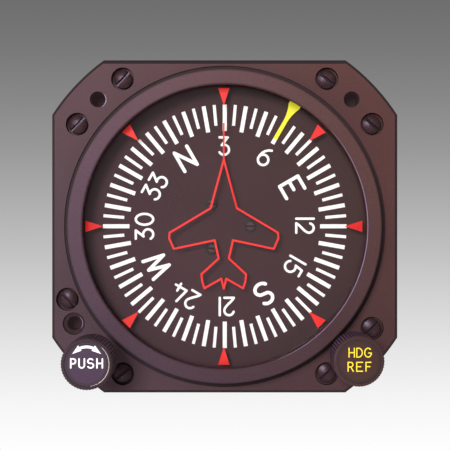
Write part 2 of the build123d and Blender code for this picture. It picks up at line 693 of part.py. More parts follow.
def rear_cover():
    """Rear cover with the open cup for the air filter and the boss for the vacuum fitting."""
    solid = plate(barrel_outline(CASE_INSET), BARREL_BACK, COVER_BACK)
    solid = chamfer(solid.faces().sort_by(Axis.Y)[-1].edges(), COVER_EDGE)
    cup = Pos(0, 0, CUP_Z)
    solid += cup * bar(CUP_R, BARREL_BACK, COVER_BACK + CUP_DEPTH)
    solid -= cup * bar(CUP_R - CUP_WALL, COVER_BACK, COVER_BACK + CUP_DEPTH + CUT)
    fitting = Pos(0, 0, FITTING_Z)
    solid += fitting * bar(FITTING_BOSS_R, BARREL_BACK, COVER_BACK + FITTING_BOSS_LENGTH)
    seat_front = COVER_BACK + FITTING_BOSS_LENGTH - FITTING_DEPTH
    solid -= fitting * bar(FITTING_R + SEAT_CLEARANCE, seat_front, COVER_BACK + FITTING_BOSS_LENGTH + CUT)
    solid -= fitting * bar(AIR_HOLE_R, BARREL_BACK - CUT, COVER_BACK)
    solid -= Pos(0, 0, DUCT_Z) * bar(DUCT_R + SEAT_CLEARANCE, BARREL_BACK - CUT, COVER_BACK + CUT)
    for place in cover_screw_places():
        solid -= place * bar(COVER_SCREW_R + SEAT_CLEARANCE, BARREL_BACK - CUT, COVER_BACK + CUT)
    return solid


def rear_cover_screws():
    """Four slotted screws of the rear cover, with their heads at the back."""
    screw = slotted_screw(COVER_SCREW_HEAD_R, COVER_SCREW_HEAD_THICK, COVER_SCREW_R, COVER_SCREW_LENGTH,
                          SLOT_WIDTH, SLOT_DEPTH, HEAD_DOME, 0.0)
    return Compound(children=[place * Pos(0, COVER_BACK, 0) * Rot(0, 0, 180) * screw
                              for place in cover_screw_places()])


def inlet_filter():
    """Round felt filter in the cup."""
    return Pos(0, 0, CUP_Z) * bar(CUP_R - CUP_WALL - FILTER_PLAY, COVER_BACK + SIDE_PLAY,
                                  COVER_BACK + SIDE_PLAY + FILTER_THICK)


def filter_screen():
    """Perforated disc that keeps the filter in its cup."""
    back = COVER_BACK + CUP_DEPTH - SCREEN_SUNK
    disc = Circle(CUP_R - CUP_WALL - SEAT_CLEARANCE) - Circle(SCREEN_HOLE_R)
    for ring, circle_r in enumerate(SCREEN_RING_RADII, start=1):
        disc -= PolarLocations(circle_r, ring * SCREEN_RING_HOLES) * Circle(SCREEN_HOLE_R)
    return Pos(0, 0, CUP_Z) * plate(disc, back - SCREEN_THICK, back)


def vacuum_fitting():
    """Threaded bush that takes the vacuum hose fitting."""
    back = COVER_BACK + FITTING_BOSS_LENGTH
    front = back - FITTING_DEPTH + SEAT_CLEARANCE
    return Pos(0, 0, FITTING_Z) * turned([
        (FITTING_BORE_R, front), (FITTING_R, front), (FITTING_R, back), (FITTING_FLANGE_R, back),
        (FITTING_FLANGE_R, back + FITTING_FLANGE_THICK), (FITTING_BORE_R, back + FITTING_FLANGE_THICK)])


def air_duct():
    """Tube that leads filtered air to a cap over the upper pivot."""
    cap = upright(bar(DUCT_CAP_R, FRAME_ARM_OUTER_Z, FRAME_ARM_OUTER_Z + DUCT_CAP_THICK))
    tube = Pos(0, 0, DUCT_Z) * bar(DUCT_R, GIMBAL_Y + DUCT_BORE_R, COVER_BACK)
    hole = Pos(0, 0, DUCT_Z) * bar(DUCT_BORE_R, GIMBAL_Y, COVER_BACK + CUT)
    well = upright(bar(GIMBAL_PIVOT_R, FRAME_ARM_OUTER_Z - CUT, DUCT_Z))
    return cap + tube - hole - well


# Mechanism frame

def mechanism_frame():
    """Cast frame: a bulkhead with the card shaft's boss and two arms for the gimbal's pivots."""
    solid = plate(barrel_outline(BARREL_WALL + FRAME_INSET), BULKHEAD_FRONT, BULKHEAD_BACK)
    windows = (Circle(FRAME_WINDOW_OUTER_R) - Circle(FRAME_WINDOW_INNER_R)
               - Rectangle(FRAME_WINDOW_BAR, BARREL_SIZE))
    solid -= plate(windows, BULKHEAD_FRONT - CUT, BULKHEAD_BACK + CUT)
    solid += bar(FRAME_BOSS_R, FRAME_BOSS_FRONT, FRAME_BOSS_BACK)
    for low, high in frame_arm_heights():
        solid += block(-FRAME_ARM_WIDTH / 2, FRAME_ARM_WIDTH / 2, BULKHEAD_BACK, GIMBAL_Y, low, high)
        solid += upright(bar(FRAME_ARM_WIDTH / 2, low, high))
    solid += lever_ears()
    for low, high in frame_arm_heights():
        solid -= upright(bar(GIMBAL_BEARING_R + SEAT_CLEARANCE, low - CUT, high + CUT))
    for front, back in card_bearing_places():
        solid -= bar(CARD_BEARING_R + SEAT_CLEARANCE, front - CUT, back + CUT)
    solid += card_bearing_spacer()
    solid -= bar(CARD_SHAFT_R + CUT, FRAME_BOSS_FRONT - CUT, FRAME_BOSS_BACK + CUT)
    solid -= Pos(CAGING_X, 0, CAGING_ROD_Z) * bar(CAGING_ROD_R + CAGING_ROD_PLAY, BULKHEAD_FRONT - CUT,
                                                  BULKHEAD_BACK + CUT)
    for place in frame_screw_places():
        solid -= place * frame_screw_cutter()
    return solid


def frame_arm_heights():
    """Bottom and top of the two arms."""
    return [(FRAME_ARM_Z, FRAME_ARM_OUTER_Z), (-FRAME_ARM_OUTER_Z, -FRAME_ARM_Z)]


def card_bearing_places():
    """Front and back of the card shaft's two bearings."""
    front = FRAME_BOSS_FRONT + SIDE_PLAY
    back = FRAME_BOSS_BACK - SIDE_PLAY
    return [(front, front + CARD_BEARING_WIDTH), (back - CARD_BEARING_WIDTH, back)]


def card_bearing_spacer():
    """Shoulder inside the boss that the two bearings seat against."""
    (_, front), (back, _) = card_bearing_places()
    return sleeve(FRAME_BOSS_R, CARD_SHAFT_R + CUT, front, back)


def lever_ears():
    """Rib and two ears under the lower arm that carry the caging lever."""
    y_low, y_high = LEVER_Y - RIB_DEPTH / 2, LEVER_Y + RIB_DEPTH / 2
    left = EAR_LEFT_X - EAR_THICK / 2
    right = EAR_RIGHT_X + EAR_THICK / 2
    solid = block(left, right, y_low, y_high, -FRAME_ARM_OUTER_Z, -FRAME_ARM_Z)
    for x in (EAR_LEFT_X, EAR_RIGHT_X):
        solid += block(x - EAR_THICK / 2, x + EAR_THICK / 2, y_low, y_high,
                       LEVER_Z - EAR_DROP, -FRAME_ARM_Z)
    pin = Pos(0, LEVER_Y, LEVER_Z) * Rot(0, 0, -90) * bar(
        LEVER_SHAFT_R + RUNNING_CLEARANCE, left - CUT, right + CUT)
    return solid - pin


# Card, hub, gears and bug

def card_screw_places():
    """The three screws round the middle of the card."""
    return [on_circle(CARD_SCREW_CIRCLE_R, 360.0 * k / CARD_SCREWS) for k in range(CARD_SCREWS)]


def compass_card():
    """Flat card that carries the scale."""
    card = bar(CARD_R, CARD_FRONT, CARD_BACK)
    for place in card_screw_places():
        card -= place * bar(CARD_SCREW_R + SEAT_CLEARANCE, 0, 2 * CARD_BACK)
    return card


def card_screws():
    """Three slotted screws that hold the card to its hub."""
    screw = slotted_screw(CARD_SCREW_HEAD_R, CARD_SCREW_HEAD_THICK, CARD_SCREW_R, CARD_SCREW_LENGTH,
                          CARD_SLOT_WIDTH, CARD_SLOT_DEPTH, HEAD_DOME / 2, 0.0)
    return Compound(children=[place * Pos(0, CARD_FRONT, 0) * screw for place in card_screw_places()])


def card_hub():
    """Hub behind the card, with the tube that the bug's sleeve turns on."""
    hub = turned([(CARD_SHAFT_R, CARD_BACK), (HUB_FLANGE_R, CARD_BACK),
                  (HUB_FLANGE_R, CARD_BACK + HUB_FLANGE_THICK), (HUB_TUBE_R, CARD_BACK + HUB_FLANGE_THICK),
                  (HUB_TUBE_R, CARD_GEAR_FRONT), (CARD_SHAFT_R, CARD_GEAR_FRONT)])
    for place in card_screw_places():
        hub -= place * bar(CARD_SCREW_R + SEAT_CLEARANCE, 0, CARD_BACK + HUB_FLANGE_THICK + CUT)
    return hub


def card_shaft():
    """Shaft that joins the card's hub, the card gear and the crown gear."""
    return bar(CARD_SHAFT_R - SEAT_CLEARANCE, CARD_BACK + SEAT_CLEARANCE,
               FRAME_BOSS_BACK + CARD_SHAFT_TAIL)


def spoked_gear(teeth, first_tooth, hub_r, bore_r, front, back):
    """Large thin gear with windows between its hub and its rim."""
    root_r = MODULE * teeth / 2 - DEDENDUM * MODULE
    inner_r = hub_r + GEAR_HUB_WALL
    middle_r = (root_r - GEAR_RIM + inner_r) / 2
    window_r = min(root_r - GEAR_RIM - middle_r, middle_r * sin(pi / GEAR_WINDOWS) - GEAR_SPOKE / 2)
    profile = spur_outline(teeth, first_tooth, False) - Circle(bore_r)
    profile -= PolarLocations(middle_r, GEAR_WINDOWS) * Circle(window_r)
    return plate(profile, front, back)


def card_gear():
    """Gear on the card's hub that the set knob turns when it is pushed in."""
    gear = spoked_gear(CARD_GEAR_TEETH, knob_angle(-1), HUB_TUBE_R, CARD_SHAFT_R,
                       CARD_GEAR_FRONT, CARD_GEAR_BACK)
    return gear + sleeve(CARD_SHAFT_R + 2 * RACE, CARD_SHAFT_R, CARD_GEAR_BACK, FRAME_BOSS_FRONT)


def crown_gear():
    """Bevel gear on the card shaft, facing the gimbal."""
    half_pitch = 180.0 / BEVEL_TEETH
    gear = bevel_gear(half_pitch - 90.0, CROWN_HUB_R, BEVEL_FACE / 2, CARD_SHAFT_R)
    return Pos(0, GIMBAL_Y, 0) * Rot(90, 0, 0) * gear


def card_bearing_outer_rings():
    """Fixed rings of the card shaft's two bearings."""
    return Compound(children=[outer_ring(CARD_BEARING_R, CARD_SHAFT_R, front, back)
                              for front, back in card_bearing_places()])


def card_bearing_inner_rings():
    """Turning rings of the card shaft's two bearings."""
    return Compound(children=[inner_ring(CARD_SHAFT_R, front, back)
                              for front, back in card_bearing_places()])


def bug_carrier():
    """Disc and sleeve that turn on the card's hub and carry the bug."""
    disc = Circle(BUG_DISC_R) - Circle(HUB_TUBE_R + RUNNING_CLEARANCE)
    first_hole = BUG_ANGLE + 180.0 / BUG_DISC_HOLES
    disc -= PolarLocations(BUG_DISC_HOLE_CIRCLE_R, BUG_DISC_HOLES, first_hole) * Circle(BUG_DISC_HOLE_R)
    solid = plate(disc, BUG_DISC_FRONT, BUG_DISC_FRONT + BUG_DISC_THICK)
    return solid + sleeve(BUG_SLEEVE_R, HUB_TUBE_R + RUNNING_CLEARANCE, BUG_DISC_FRONT, BUG_GEAR_BACK)


def bug_gear():
    """Gear on the bug's sleeve that the heading knob turns when it is pushed in."""
    return spoked_gear(BUG_GEAR_TEETH, knob_angle(1), BUG_SLEEVE_R, BUG_SLEEVE_R,
                       BUG_GEAR_FRONT, BUG_GEAR_BACK)


def heading_bug():
    """Bug folded from sheet: a pointer over the card, a wrap round its edge and a leg behind it."""
    wrap_r = CARD_R + BUG_WRAP_GAP
    face_back = CARD_FRONT - BUG_GAP
    face_front = face_back - BUG_SHEET
    outer_r = wrap_r + BUG_SHEET
    half_stem = BUG_STEM_WIDTH / 2
    half_head = BUG_HEAD_WIDTH / 2
    taper_start = CARD_R - BUG_TAPER_START
    taper_end = CARD_R - BUG_TAPER_END
    waist_r = (taper_start + taper_end) / 2
    waist = half_stem + (half_head - half_stem) / 4
    upper = Spline((taper_start, half_stem), (waist_r, waist), (taper_end, half_head))
    lower = mirror(upper, about=Plane.XZ)
    taper = make_face([upper, lower, Line((taper_start, -half_stem), (taper_start, half_stem)),
                       Line((taper_end, -half_head), (taper_end, half_head))])
    stem_end = CARD_R - BUG_REACH
    stem = Pos((stem_end + taper_start) / 2, 0) * Rectangle(taper_start - stem_end, BUG_STEM_WIDTH)
    head = Pos((taper_end + wrap_r) / 2, 0) * Rectangle(wrap_r - taper_end, BUG_HEAD_WIDTH)
    pointer = plate(stem + taper + head, face_front, face_back)
    fold = block(wrap_r, outer_r, face_front, BUG_DISC_FRONT, -half_head, half_head)
    leg = block(outer_r - BUG_LEG_LENGTH, outer_r, BUG_DISC_FRONT - BUG_SHEET, BUG_DISC_FRONT,
                -half_head, half_head)
    return Rot(0, -BUG_ANGLE, 0) * (pointer + fold + leg)


# Knobs and the gear work behind them; side is -1 for the set knob and 1 for the heading knob

def knob_angle(side):
    """Direction of a knob from the dial's centre."""
    return 270.0 + side * CORNER_ANGLE


def knob_place(side):
    """Location of a knob's axis."""
    return on_circle(KNOB_OUT, knob_angle(side))


def beside_knob(side, out, aside):
    """Place given along the knob's line and square to it, towards the bottom of the dial."""
    angle = knob_angle(side)
    radius = hypot(out, aside)
    return radius, angle - side * degrees(atan2(aside, out))


def post_place(side):
    """Location of a carriage's guide post."""
    return on_circle(*beside_knob(side, POST_OUT, POST_ASIDE))


def knob_body(reach, side):
    """Knurled knob with a recess in its face and a bore for its shaft."""
    front = -reach
    back = front + KNOB_LENGTH
    knurl = []
    for k in range(2 * KNOB_KNURLS):
        angle = pi * k / KNOB_KNURLS
        radius = KNOB_R - KNURL_DEPTH * (k % 2)
        knurl.append((radius * cos(angle), radius * sin(angle)))
    solid = plate(make_face(Polyline(*knurl, close=True)), front, back)
    envelope = turned([(0, front), (KNOB_R - KNOB_EDGE, front), (KNOB_R, front + KNOB_EDGE),
                       (KNOB_R, back - KNOB_EDGE), (KNOB_R - KNOB_EDGE, back), (0, back)])
    solid &= envelope
    solid -= bar(KNOB_FACE_R, front - CUT, front + KNOB_FACE_DEPTH)
    solid -= bar(SHAFT_R, back - KNOB_SHAFT_DEPTH, back + CUT)
    return knob_place(side) * solid


def knob_face(reach, side):
    """Insert in the knob's face that carries its marking."""
    front = -reach
    return knob_place(side) * bar(KNOB_FACE_R - SEAT_CLEARANCE, front + KNOB_FACE_SUNK,
                                  front + KNOB_FACE_DEPTH)


def knob_bushings():
    """Bushings in the front plate that the two knob shafts turn and slide in."""
    bushes = []
    for side in (-1, 1):
        back = FLANGE_THICK + BUSH_FLANGE_THICK
        bush = turned([(SHAFT_R + RUNNING_CLEARANCE, 0), (BUSH_R, 0), (BUSH_R, FLANGE_THICK),
                       (BUSH_FLANGE_R, FLANGE_THICK), (BUSH_FLANGE_R, back),
                       (SHAFT_R + RUNNING_CLEARANCE, back)])
        bushes.append(knob_place(side) * bush)
    return Compound(children=bushes)


def idler_front(side):
    """Front of an idler when its knob is out: its travel short of the gear that it turns."""
    if side < 0:
        return CARD_GEAR_FRONT - SET_TRAVEL
    return BUG_GEAR_FRONT - HEADING_TRAVEL


def carriage_front(side):
    """Front of a carriage plate, just behind its idler."""
    return idler_front(side) + GEAR_THICK + CARRIAGE_GAP


def idler_out(side):
    """Distance of an idler's axis from the dial's centre."""
    return SET_IDLER_OUT if side < 0 else HEADING_IDLER_OUT


def knob_shaft(side, reach, pinion_teeth):
    """Shaft with its pinion and the collar that holds it in the carriage."""
    front = -reach + KNOB_LENGTH - KNOB_SHAFT_DEPTH
    pinion_front = idler_front(side) - PINION_OVERHANG
    pinion_back = idler_front(side) + GEAR_THICK + PINION_OVERHANG
    collar_front = carriage_front(side) + CARRIAGE_THICK + CARRIAGE_GAP
    collar_back = collar_front + COLLAR_THICK
    toothed = spur_outline(pinion_teeth, knob_angle(side) + 180.0, True)
    solid = bar(SHAFT_R - SEAT_CLEARANCE / 2, front, collar_back + SHAFT_TAIL)
    solid += plate(toothed, pinion_front, pinion_back)
    solid += bar(COLLAR_R, collar_front, collar_back)
    return knob_place(side) * solid


def idler(side, teeth):
    """Idler gear on its pin; a gap between its teeth faces the large gear and the pinion."""
    first_tooth = knob_angle(side) + 180.0 / teeth
    profile = spur_outline(teeth, first_tooth, True) - Circle(IDLER_PIN_R + RUNNING_CLEARANCE)
    front = idler_front(side)
    return on_circle(idler_out(side), knob_angle(side)) * plate(profile, front, front + GEAR_THICK)


def carriage_arm(side, start, end):
    """Flat bar of the carriage between two (out, aside) places."""
    middle_out = (start[0] + end[0]) / 2
    middle_aside = (start[1] + end[1]) / 2
    length = hypot(end[0] - start[0], end[1] - start[1])
    turn = degrees(atan2(end[1] - start[1], end[0] - start[0]))
    radius, angle = beside_knob(side, middle_out, middle_aside)
    x, z = radius * cos(radians(angle)), radius * sin(radians(angle))
    return Pos(x, z) * Rot(0, 0, knob_angle(side) - side * turn) * Rectangle(length, ARM_WIDTH)


def carriage(side, spots):
    """Sliding plate that carries the idler's pin; spots are its other (out, aside, eye, hole) eyes."""
    front = carriage_front(side)
    back = front + CARRIAGE_THICK
    centre = (idler_out(side), 0.0)
    profile = carriage_arm(side, centre, (KNOB_OUT, 0.0))
    eyes = [(KNOB_OUT, 0.0, SHAFT_EYE_R, SHAFT_R + RUNNING_CLEARANCE), (*centre, EYE_R, 0.0)] + spots
    for out, aside, eye_r, _ in eyes:
        place = on_circle(*beside_knob(side, out, aside)).position
        profile += Pos(place.X, place.Z) * Circle(eye_r)
    for out, aside, _, _ in spots:
        profile += carriage_arm(side, centre, (out, aside))
    for out, aside, _, hole_r in eyes:
        if hole_r > 0:
            place = on_circle(*beside_knob(side, out, aside)).position
            profile -= Pos(place.X, place.Z) * Circle(hole_r)
    pin_front = idler_front(side) - SIDE_PLAY - IDLER_PIN_HEAD_THICK
    pin = bar(IDLER_PIN_R, pin_front, back)
    pin += bar(IDLER_PIN_HEAD_R, pin_front, pin_front + IDLER_PIN_HEAD_THICK)
    return plate(profile, front, back) + on_circle(idler_out(side), knob_angle(side)) * pin


def caging_spot():
    """The caging rod's place, along the set knob's line and square to it."""
    along = radians(knob_angle(-1))
    out = CAGING_X * cos(along) + CAGING_ROD_Z * sin(along)
    aside = CAGING_ROD_Z * cos(along) - CAGING_X * sin(along)
    return out, aside


def set_carriage():
    """Carriage of the set knob, with the eye that pushes the caging rod."""
    return carriage(-1, [(POST_OUT, POST_ASIDE, EYE_R, POST_R + RUNNING_CLEARANCE),
                         (*caging_spot(), CAGING_EYE_R, CAGING_ROD_R)])


def heading_carriage():
    """Carriage of the heading knob."""
    return carriage(1, [(POST_OUT, POST_ASIDE, EYE_R, POST_R + RUNNING_CLEARANCE)])


def guide_posts():
    """Posts that keep the two carriages square while they slide."""
    front = FLANGE_THICK - POST_SUNK
    back = BULKHEAD_FRONT - SIDE_PLAY
    return Compound(children=[post_place(side) * bar(POST_R, front, back) for side in (-1, 1)])


def return_spring(side):
    """Coil spring on a guide post, between the carriage and the bulkhead."""
    low = carriage_front(side) + CARRIAGE_THICK + SPRING_WIRE_R
    high = BULKHEAD_FRONT - SPRING_WIRE_R
    path = Helix(pitch=(high - low) / SPRING_TURNS, height=high - low, radius=SPRING_R)
    wire = sweep(Plane(origin=path @ 0, z_dir=path % 0) * Circle(SPRING_WIRE_R), path=path)
    return post_place(side) * Pos(0, high, 0) * Rot(90, 0, 0) * wire


# Caging linkage

def caging_rod():
    """Rod that the set carriage pushes back against the caging lever."""
    front = carriage_front(-1)
    back = LEVER_Y - LEVER_ARM_THICK / 2 - LEVER_GAP
    return Pos(CAGING_X, 0, CAGING_ROD_Z) * bar(CAGING_ROD_R - SEAT_CLEARANCE, front, back)


def caging_lever():
    """Cross shaft with a long arm for the rod and a short toe under the plunger."""
    left = CAGING_X - LEVER_ARM_WIDTH / 2
    right = EAR_RIGHT_X + EAR_THICK / 2 + SIDE_PLAY
    solid = Pos(0, LEVER_Y, LEVER_Z) * Rot(0, 0, -90) * bar(LEVER_SHAFT_R, left, right)
    solid += block(left, left + LEVER_ARM_WIDTH, LEVER_Y - LEVER_ARM_THICK / 2,
                   LEVER_Y + LEVER_ARM_THICK / 2, LEVER_Z - LEVER_SHAFT_R, CAGING_ROD_Z + LEVER_ARM_TOP)
    solid += block(-LEVER_TOE_WIDTH / 2, LEVER_TOE_WIDTH / 2, GIMBAL_Y - LEVER_TOE_OVER, LEVER_Y,
                   LEVER_Z - LEVER_TOE_THICK / 2, LEVER_Z + LEVER_TOE_THICK / 2)
    return solid


def caging_plunger():
    """Plunger that rises through the lower pivot towards the inner gimbal."""
    return upright(turned([(0, PLUNGER_FOOT), (PLUNGER_FOOT_R, PLUNGER_FOOT),
                           (PLUNGER_FOOT_R, PLUNGER_FOOT + PLUNGER_FOOT_THICK),
                           (PLUNGER_R, PLUNGER_FOOT + PLUNGER_FOOT_THICK),
                           (PLUNGER_R, PLUNGER_TOP), (0, PLUNGER_TOP)]))


# Gimbals and rotor

def gimbal_bearing_places():
    """Bottom and top of the gimbal's two bearings, as heights."""
    middle = FRAME_ARM_Z + FRAME_ARM_THICK / 2
    half = GIMBAL_BEARING_WIDTH / 2
    return [(middle - half, middle + half), (-middle - half, -middle + half)]


def gimbal_bearing_outer_rings():
    """Fixed rings of the gimbal's upper and lower bearings."""
    return Compound(children=[upright(outer_ring(GIMBAL_BEARING_R, GIMBAL_PIVOT_R, low, high))
                              for low, high in gimbal_bearing_places()])


def gimbal_bearing_inner_rings():
    """Turning rings of the gimbal's upper and lower bearings."""
    return Compound(children=[upright(inner_ring(GIMBAL_PIVOT_R, low, high))
                              for low, high in gimbal_bearing_places()])


def rounded_frame(outer_x, outer_z, outer_r, inner_x, inner_z, inner_r):
    """Rectangular ring with rounded corners, from half sizes."""
    return (RectangleRounded(2 * outer_x, 2 * outer_z, outer_r)
            - RectangleRounded(2 * inner_x, 2 * inner_z, inner_r))


def outer_gimbal():
    """Upright frame that turns with the heading and carries the inner gimbal between its sides."""
    inner_r = GIMBAL_CORNER_R - GIMBAL_BAR / 2
    profile = rounded_frame(GIMBAL_OUTER_X, GIMBAL_OUTER_Z, GIMBAL_CORNER_R,
                            GIMBAL_INNER_X, GIMBAL_INNER_Z, inner_r)
    solid = plate(profile, GIMBAL_Y - GIMBAL_DEPTH / 2, GIMBAL_Y + GIMBAL_DEPTH / 2)
    solid -= upright(bar(PLUNGER_BORE_R, -GIMBAL_OUTER_Z - CUT, GIMBAL_OUTER_Z + CUT))
    for low, high in tilt_bearing_places():
        solid -= across(bar(SMALL_BEARING_R + SEAT_CLEARANCE, low - CUT, high + CUT))
    solid -= Pos(NOZZLE_X, 0, 0) * upright(bar(NOZZLE_R + SEAT_CLEARANCE, GIMBAL_INNER_Z - CUT,
                                               GIMBAL_INNER_Z + GIMBAL_BAR / 2))
    return solid


def upper_pivot():
    """Hollow pivot on top of the outer gimbal, through which the air comes in."""
    return upright(pivot_solid())


def lower_pivot():
    """Hollow pivot under the outer gimbal, through which the caging plunger rises."""
    return upright(Rot(180, 0, 0) * pivot_solid())


def pivot_solid():
    """Flanged hollow pivot along +Y, seated on the gimbal's bar."""
    foot = GIMBAL_OUTER_Z
    flange_top = foot + GIMBAL_PIVOT_FLANGE
    flange_r = AZIMUTH_HUB_R - SIDE_PLAY
    shaft_r = GIMBAL_PIVOT_R - SEAT_CLEARANCE
    return turned([(PLUNGER_BORE_R, foot), (flange_r, foot), (flange_r, flange_top),
                   (shaft_r, flange_top), (shaft_r, PIVOT_END_Z), (PLUNGER_BORE_R, PIVOT_END_Z)])


def azimuth_gear():
    """Bevel gear under the outer gimbal that drives the crown gear."""
    gear = bevel_gear(90.0, AZIMUTH_HUB_R, 0.0, GIMBAL_PIVOT_R)
    collar_z = GIMBAL_OUTER_Z + GIMBAL_PIVOT_FLANGE
    collar = Pos(0, 0, (collar_z + BEVEL_PITCH_R) / 2) * Cylinder(AZIMUTH_HUB_R, BEVEL_PITCH_R - collar_z)
    collar -= Cylinder(GIMBAL_PIVOT_R, 4 * BEVEL_PITCH_R)
    return Pos(0, GIMBAL_Y, 0) * Rot(180, 0, 0) * (gear + collar)


def air_nozzle():
    """Nozzle under the gimbal's top bar that blows on the rotor's buckets."""
    return Pos(NOZZLE_X, 0, 0) * upright(sleeve(NOZZLE_R, NOZZLE_BORE_R, NOZZLE_TIP_Z,
                                                GIMBAL_INNER_Z + GIMBAL_BAR / 2))


def tilt_bearing_places():
    """Inner and outer ends of the two tilt bearings, as x places."""
    middle = (GIMBAL_INNER_X + GIMBAL_OUTER_X) / 2
    half = SMALL_BEARING_WIDTH / 2
    return [(-middle - half, -middle + half), (middle - half, middle + half)]


def tilt_bearing_outer_rings():
    """Fixed rings of the tilt bearings, in the outer gimbal's sides."""
    return Compound(children=[across(outer_ring(SMALL_BEARING_R, TILT_PIVOT_R, low, high))
                              for low, high in tilt_bearing_places()])


def tilt_bearing_inner_rings():
    """Turning rings of the tilt bearings."""
    return Compound(children=[across(inner_ring(TILT_PIVOT_R, low, high))
                              for low, high in tilt_bearing_places()])


def tilt_pivots():
    """Stub pivots pressed into the inner gimbal's sides."""
    pivots = []
    for low, high in tilt_bearing_places():
        far = high if high > 0 else low
        near = (TILT_OUTER_X - TILT_PIVOT_SUNK) * (1 if far > 0 else -1)
        pivots.append(across(bar(TILT_PIVOT_R - SEAT_CLEARANCE, *sorted((near, far)))))
    return Compound(children=pivots)


def inner_gimbal():
    """Cage of two crossed frames round the rotor: one level, one upright."""
    inner_r = CAGE_CORNER_R - CAGE_BAR
    level = rounded_frame(TILT_OUTER_X, CAGE_OUTER_Y, CAGE_CORNER_R, TILT_INNER_X, CAGE_INNER_Y, inner_r)
    solid = Pos(0, GIMBAL_Y, -CAGE_WIDTH / 2) * extrude(level, amount=CAGE_WIDTH)
    upright_frame = rounded_frame(CAGE_OUTER_Y, CAGE_OUTER_Z, CAGE_CORNER_R,
                                  CAGE_INNER_Y, CAGE_INNER_Z, CAGE_INNER_CORNER_R)
    solid += Pos(-CAGE_WIDTH / 2, GIMBAL_Y, 0) * extrude(Plane.YZ * upright_frame, amount=CAGE_WIDTH)
    for low, high in rotor_bearing_places():
        boss_low = min(low, high)
        solid += bar(BEARING_BOSS_R, *rotor_boss(boss_low > GIMBAL_Y))
    for low, high in rotor_bearing_places():
        solid -= bar(SMALL_BEARING_R + SEAT_CLEARANCE, low, high)
        solid -= bar(ROTOR_SHAFT_R + 2 * RACE, low - CAGE_BAR_Y, high + CAGE_BAR_Y)
    hole_end = TILT_OUTER_X - TILT_PIVOT_SUNK
    solid -= across(bar(TILT_PIVOT_R, hole_end, TILT_OUTER_X + CUT))
    solid -= across(bar(TILT_PIVOT_R, -TILT_OUTER_X - CUT, -hole_end))
    return solid


def rotor_boss(behind):
    """Front and back of a rotor bearing's boss."""
    if behind:
        return GIMBAL_Y + CAGE_INNER_Y - BEARING_BOSS_PROUD, GIMBAL_Y + CAGE_OUTER_Y
    return GIMBAL_Y - CAGE_OUTER_Y, GIMBAL_Y - CAGE_INNER_Y + BEARING_BOSS_PROUD


def rotor_bearing_places():
    """Front and back of the rotor's two bearings."""
    near = CAGE_INNER_Y
    far = near + SMALL_BEARING_WIDTH
    return [(GIMBAL_Y - far, GIMBAL_Y - near), (GIMBAL_Y + near, GIMBAL_Y + far)]


def rotor_bearing_outer_rings():
    """Fixed rings of the rotor's bearings, in the inner gimbal."""
    return Compound(children=[outer_ring(SMALL_BEARING_R, ROTOR_SHAFT_R, front, back)
                              for front, back in rotor_bearing_places()])


def rotor_bearing_inner_rings():
    """Turning rings of the rotor's bearings."""
    return Compound(children=[inner_ring(ROTOR_SHAFT_R, front, back)
                              for front, back in rotor_bearing_places()])


def gyro_rotor():
    """Heavy rotor with a thick rim, a thin web and buckets milled into its rim."""
    half = ROTOR_WIDTH / 2
    web = ROTOR_WEB / 2
    side = [(ROTOR_SHAFT_R, -half), (ROTOR_HUB_R, -half), (ROTOR_HUB_R, -web), (ROTOR_RIM_INNER_R, -web),
            (ROTOR_RIM_INNER_R, -half), (ROTOR_R, -half)]
    other = [(radius, -y) for radius, y in reversed(side)]
    rotor = turned(side + other)
    bucket = bar(BUCKET_R, -BUCKET_LENGTH / 2, BUCKET_LENGTH / 2)
    for k in range(BUCKETS):
        rotor -= on_circle(ROTOR_R, 360.0 * k / BUCKETS) * bucket
    return Pos(0, GIMBAL_Y, 0) * rotor


def rotor_shaft():
    """Rotor shaft between the two bearings."""
    reach = CAGE_OUTER_Y - SEAT_CLEARANCE
    return bar(ROTOR_SHAFT_R - SEAT_CLEARANCE, GIMBAL_Y - reach, GIMBAL_Y + reach)


# Every piece, by name

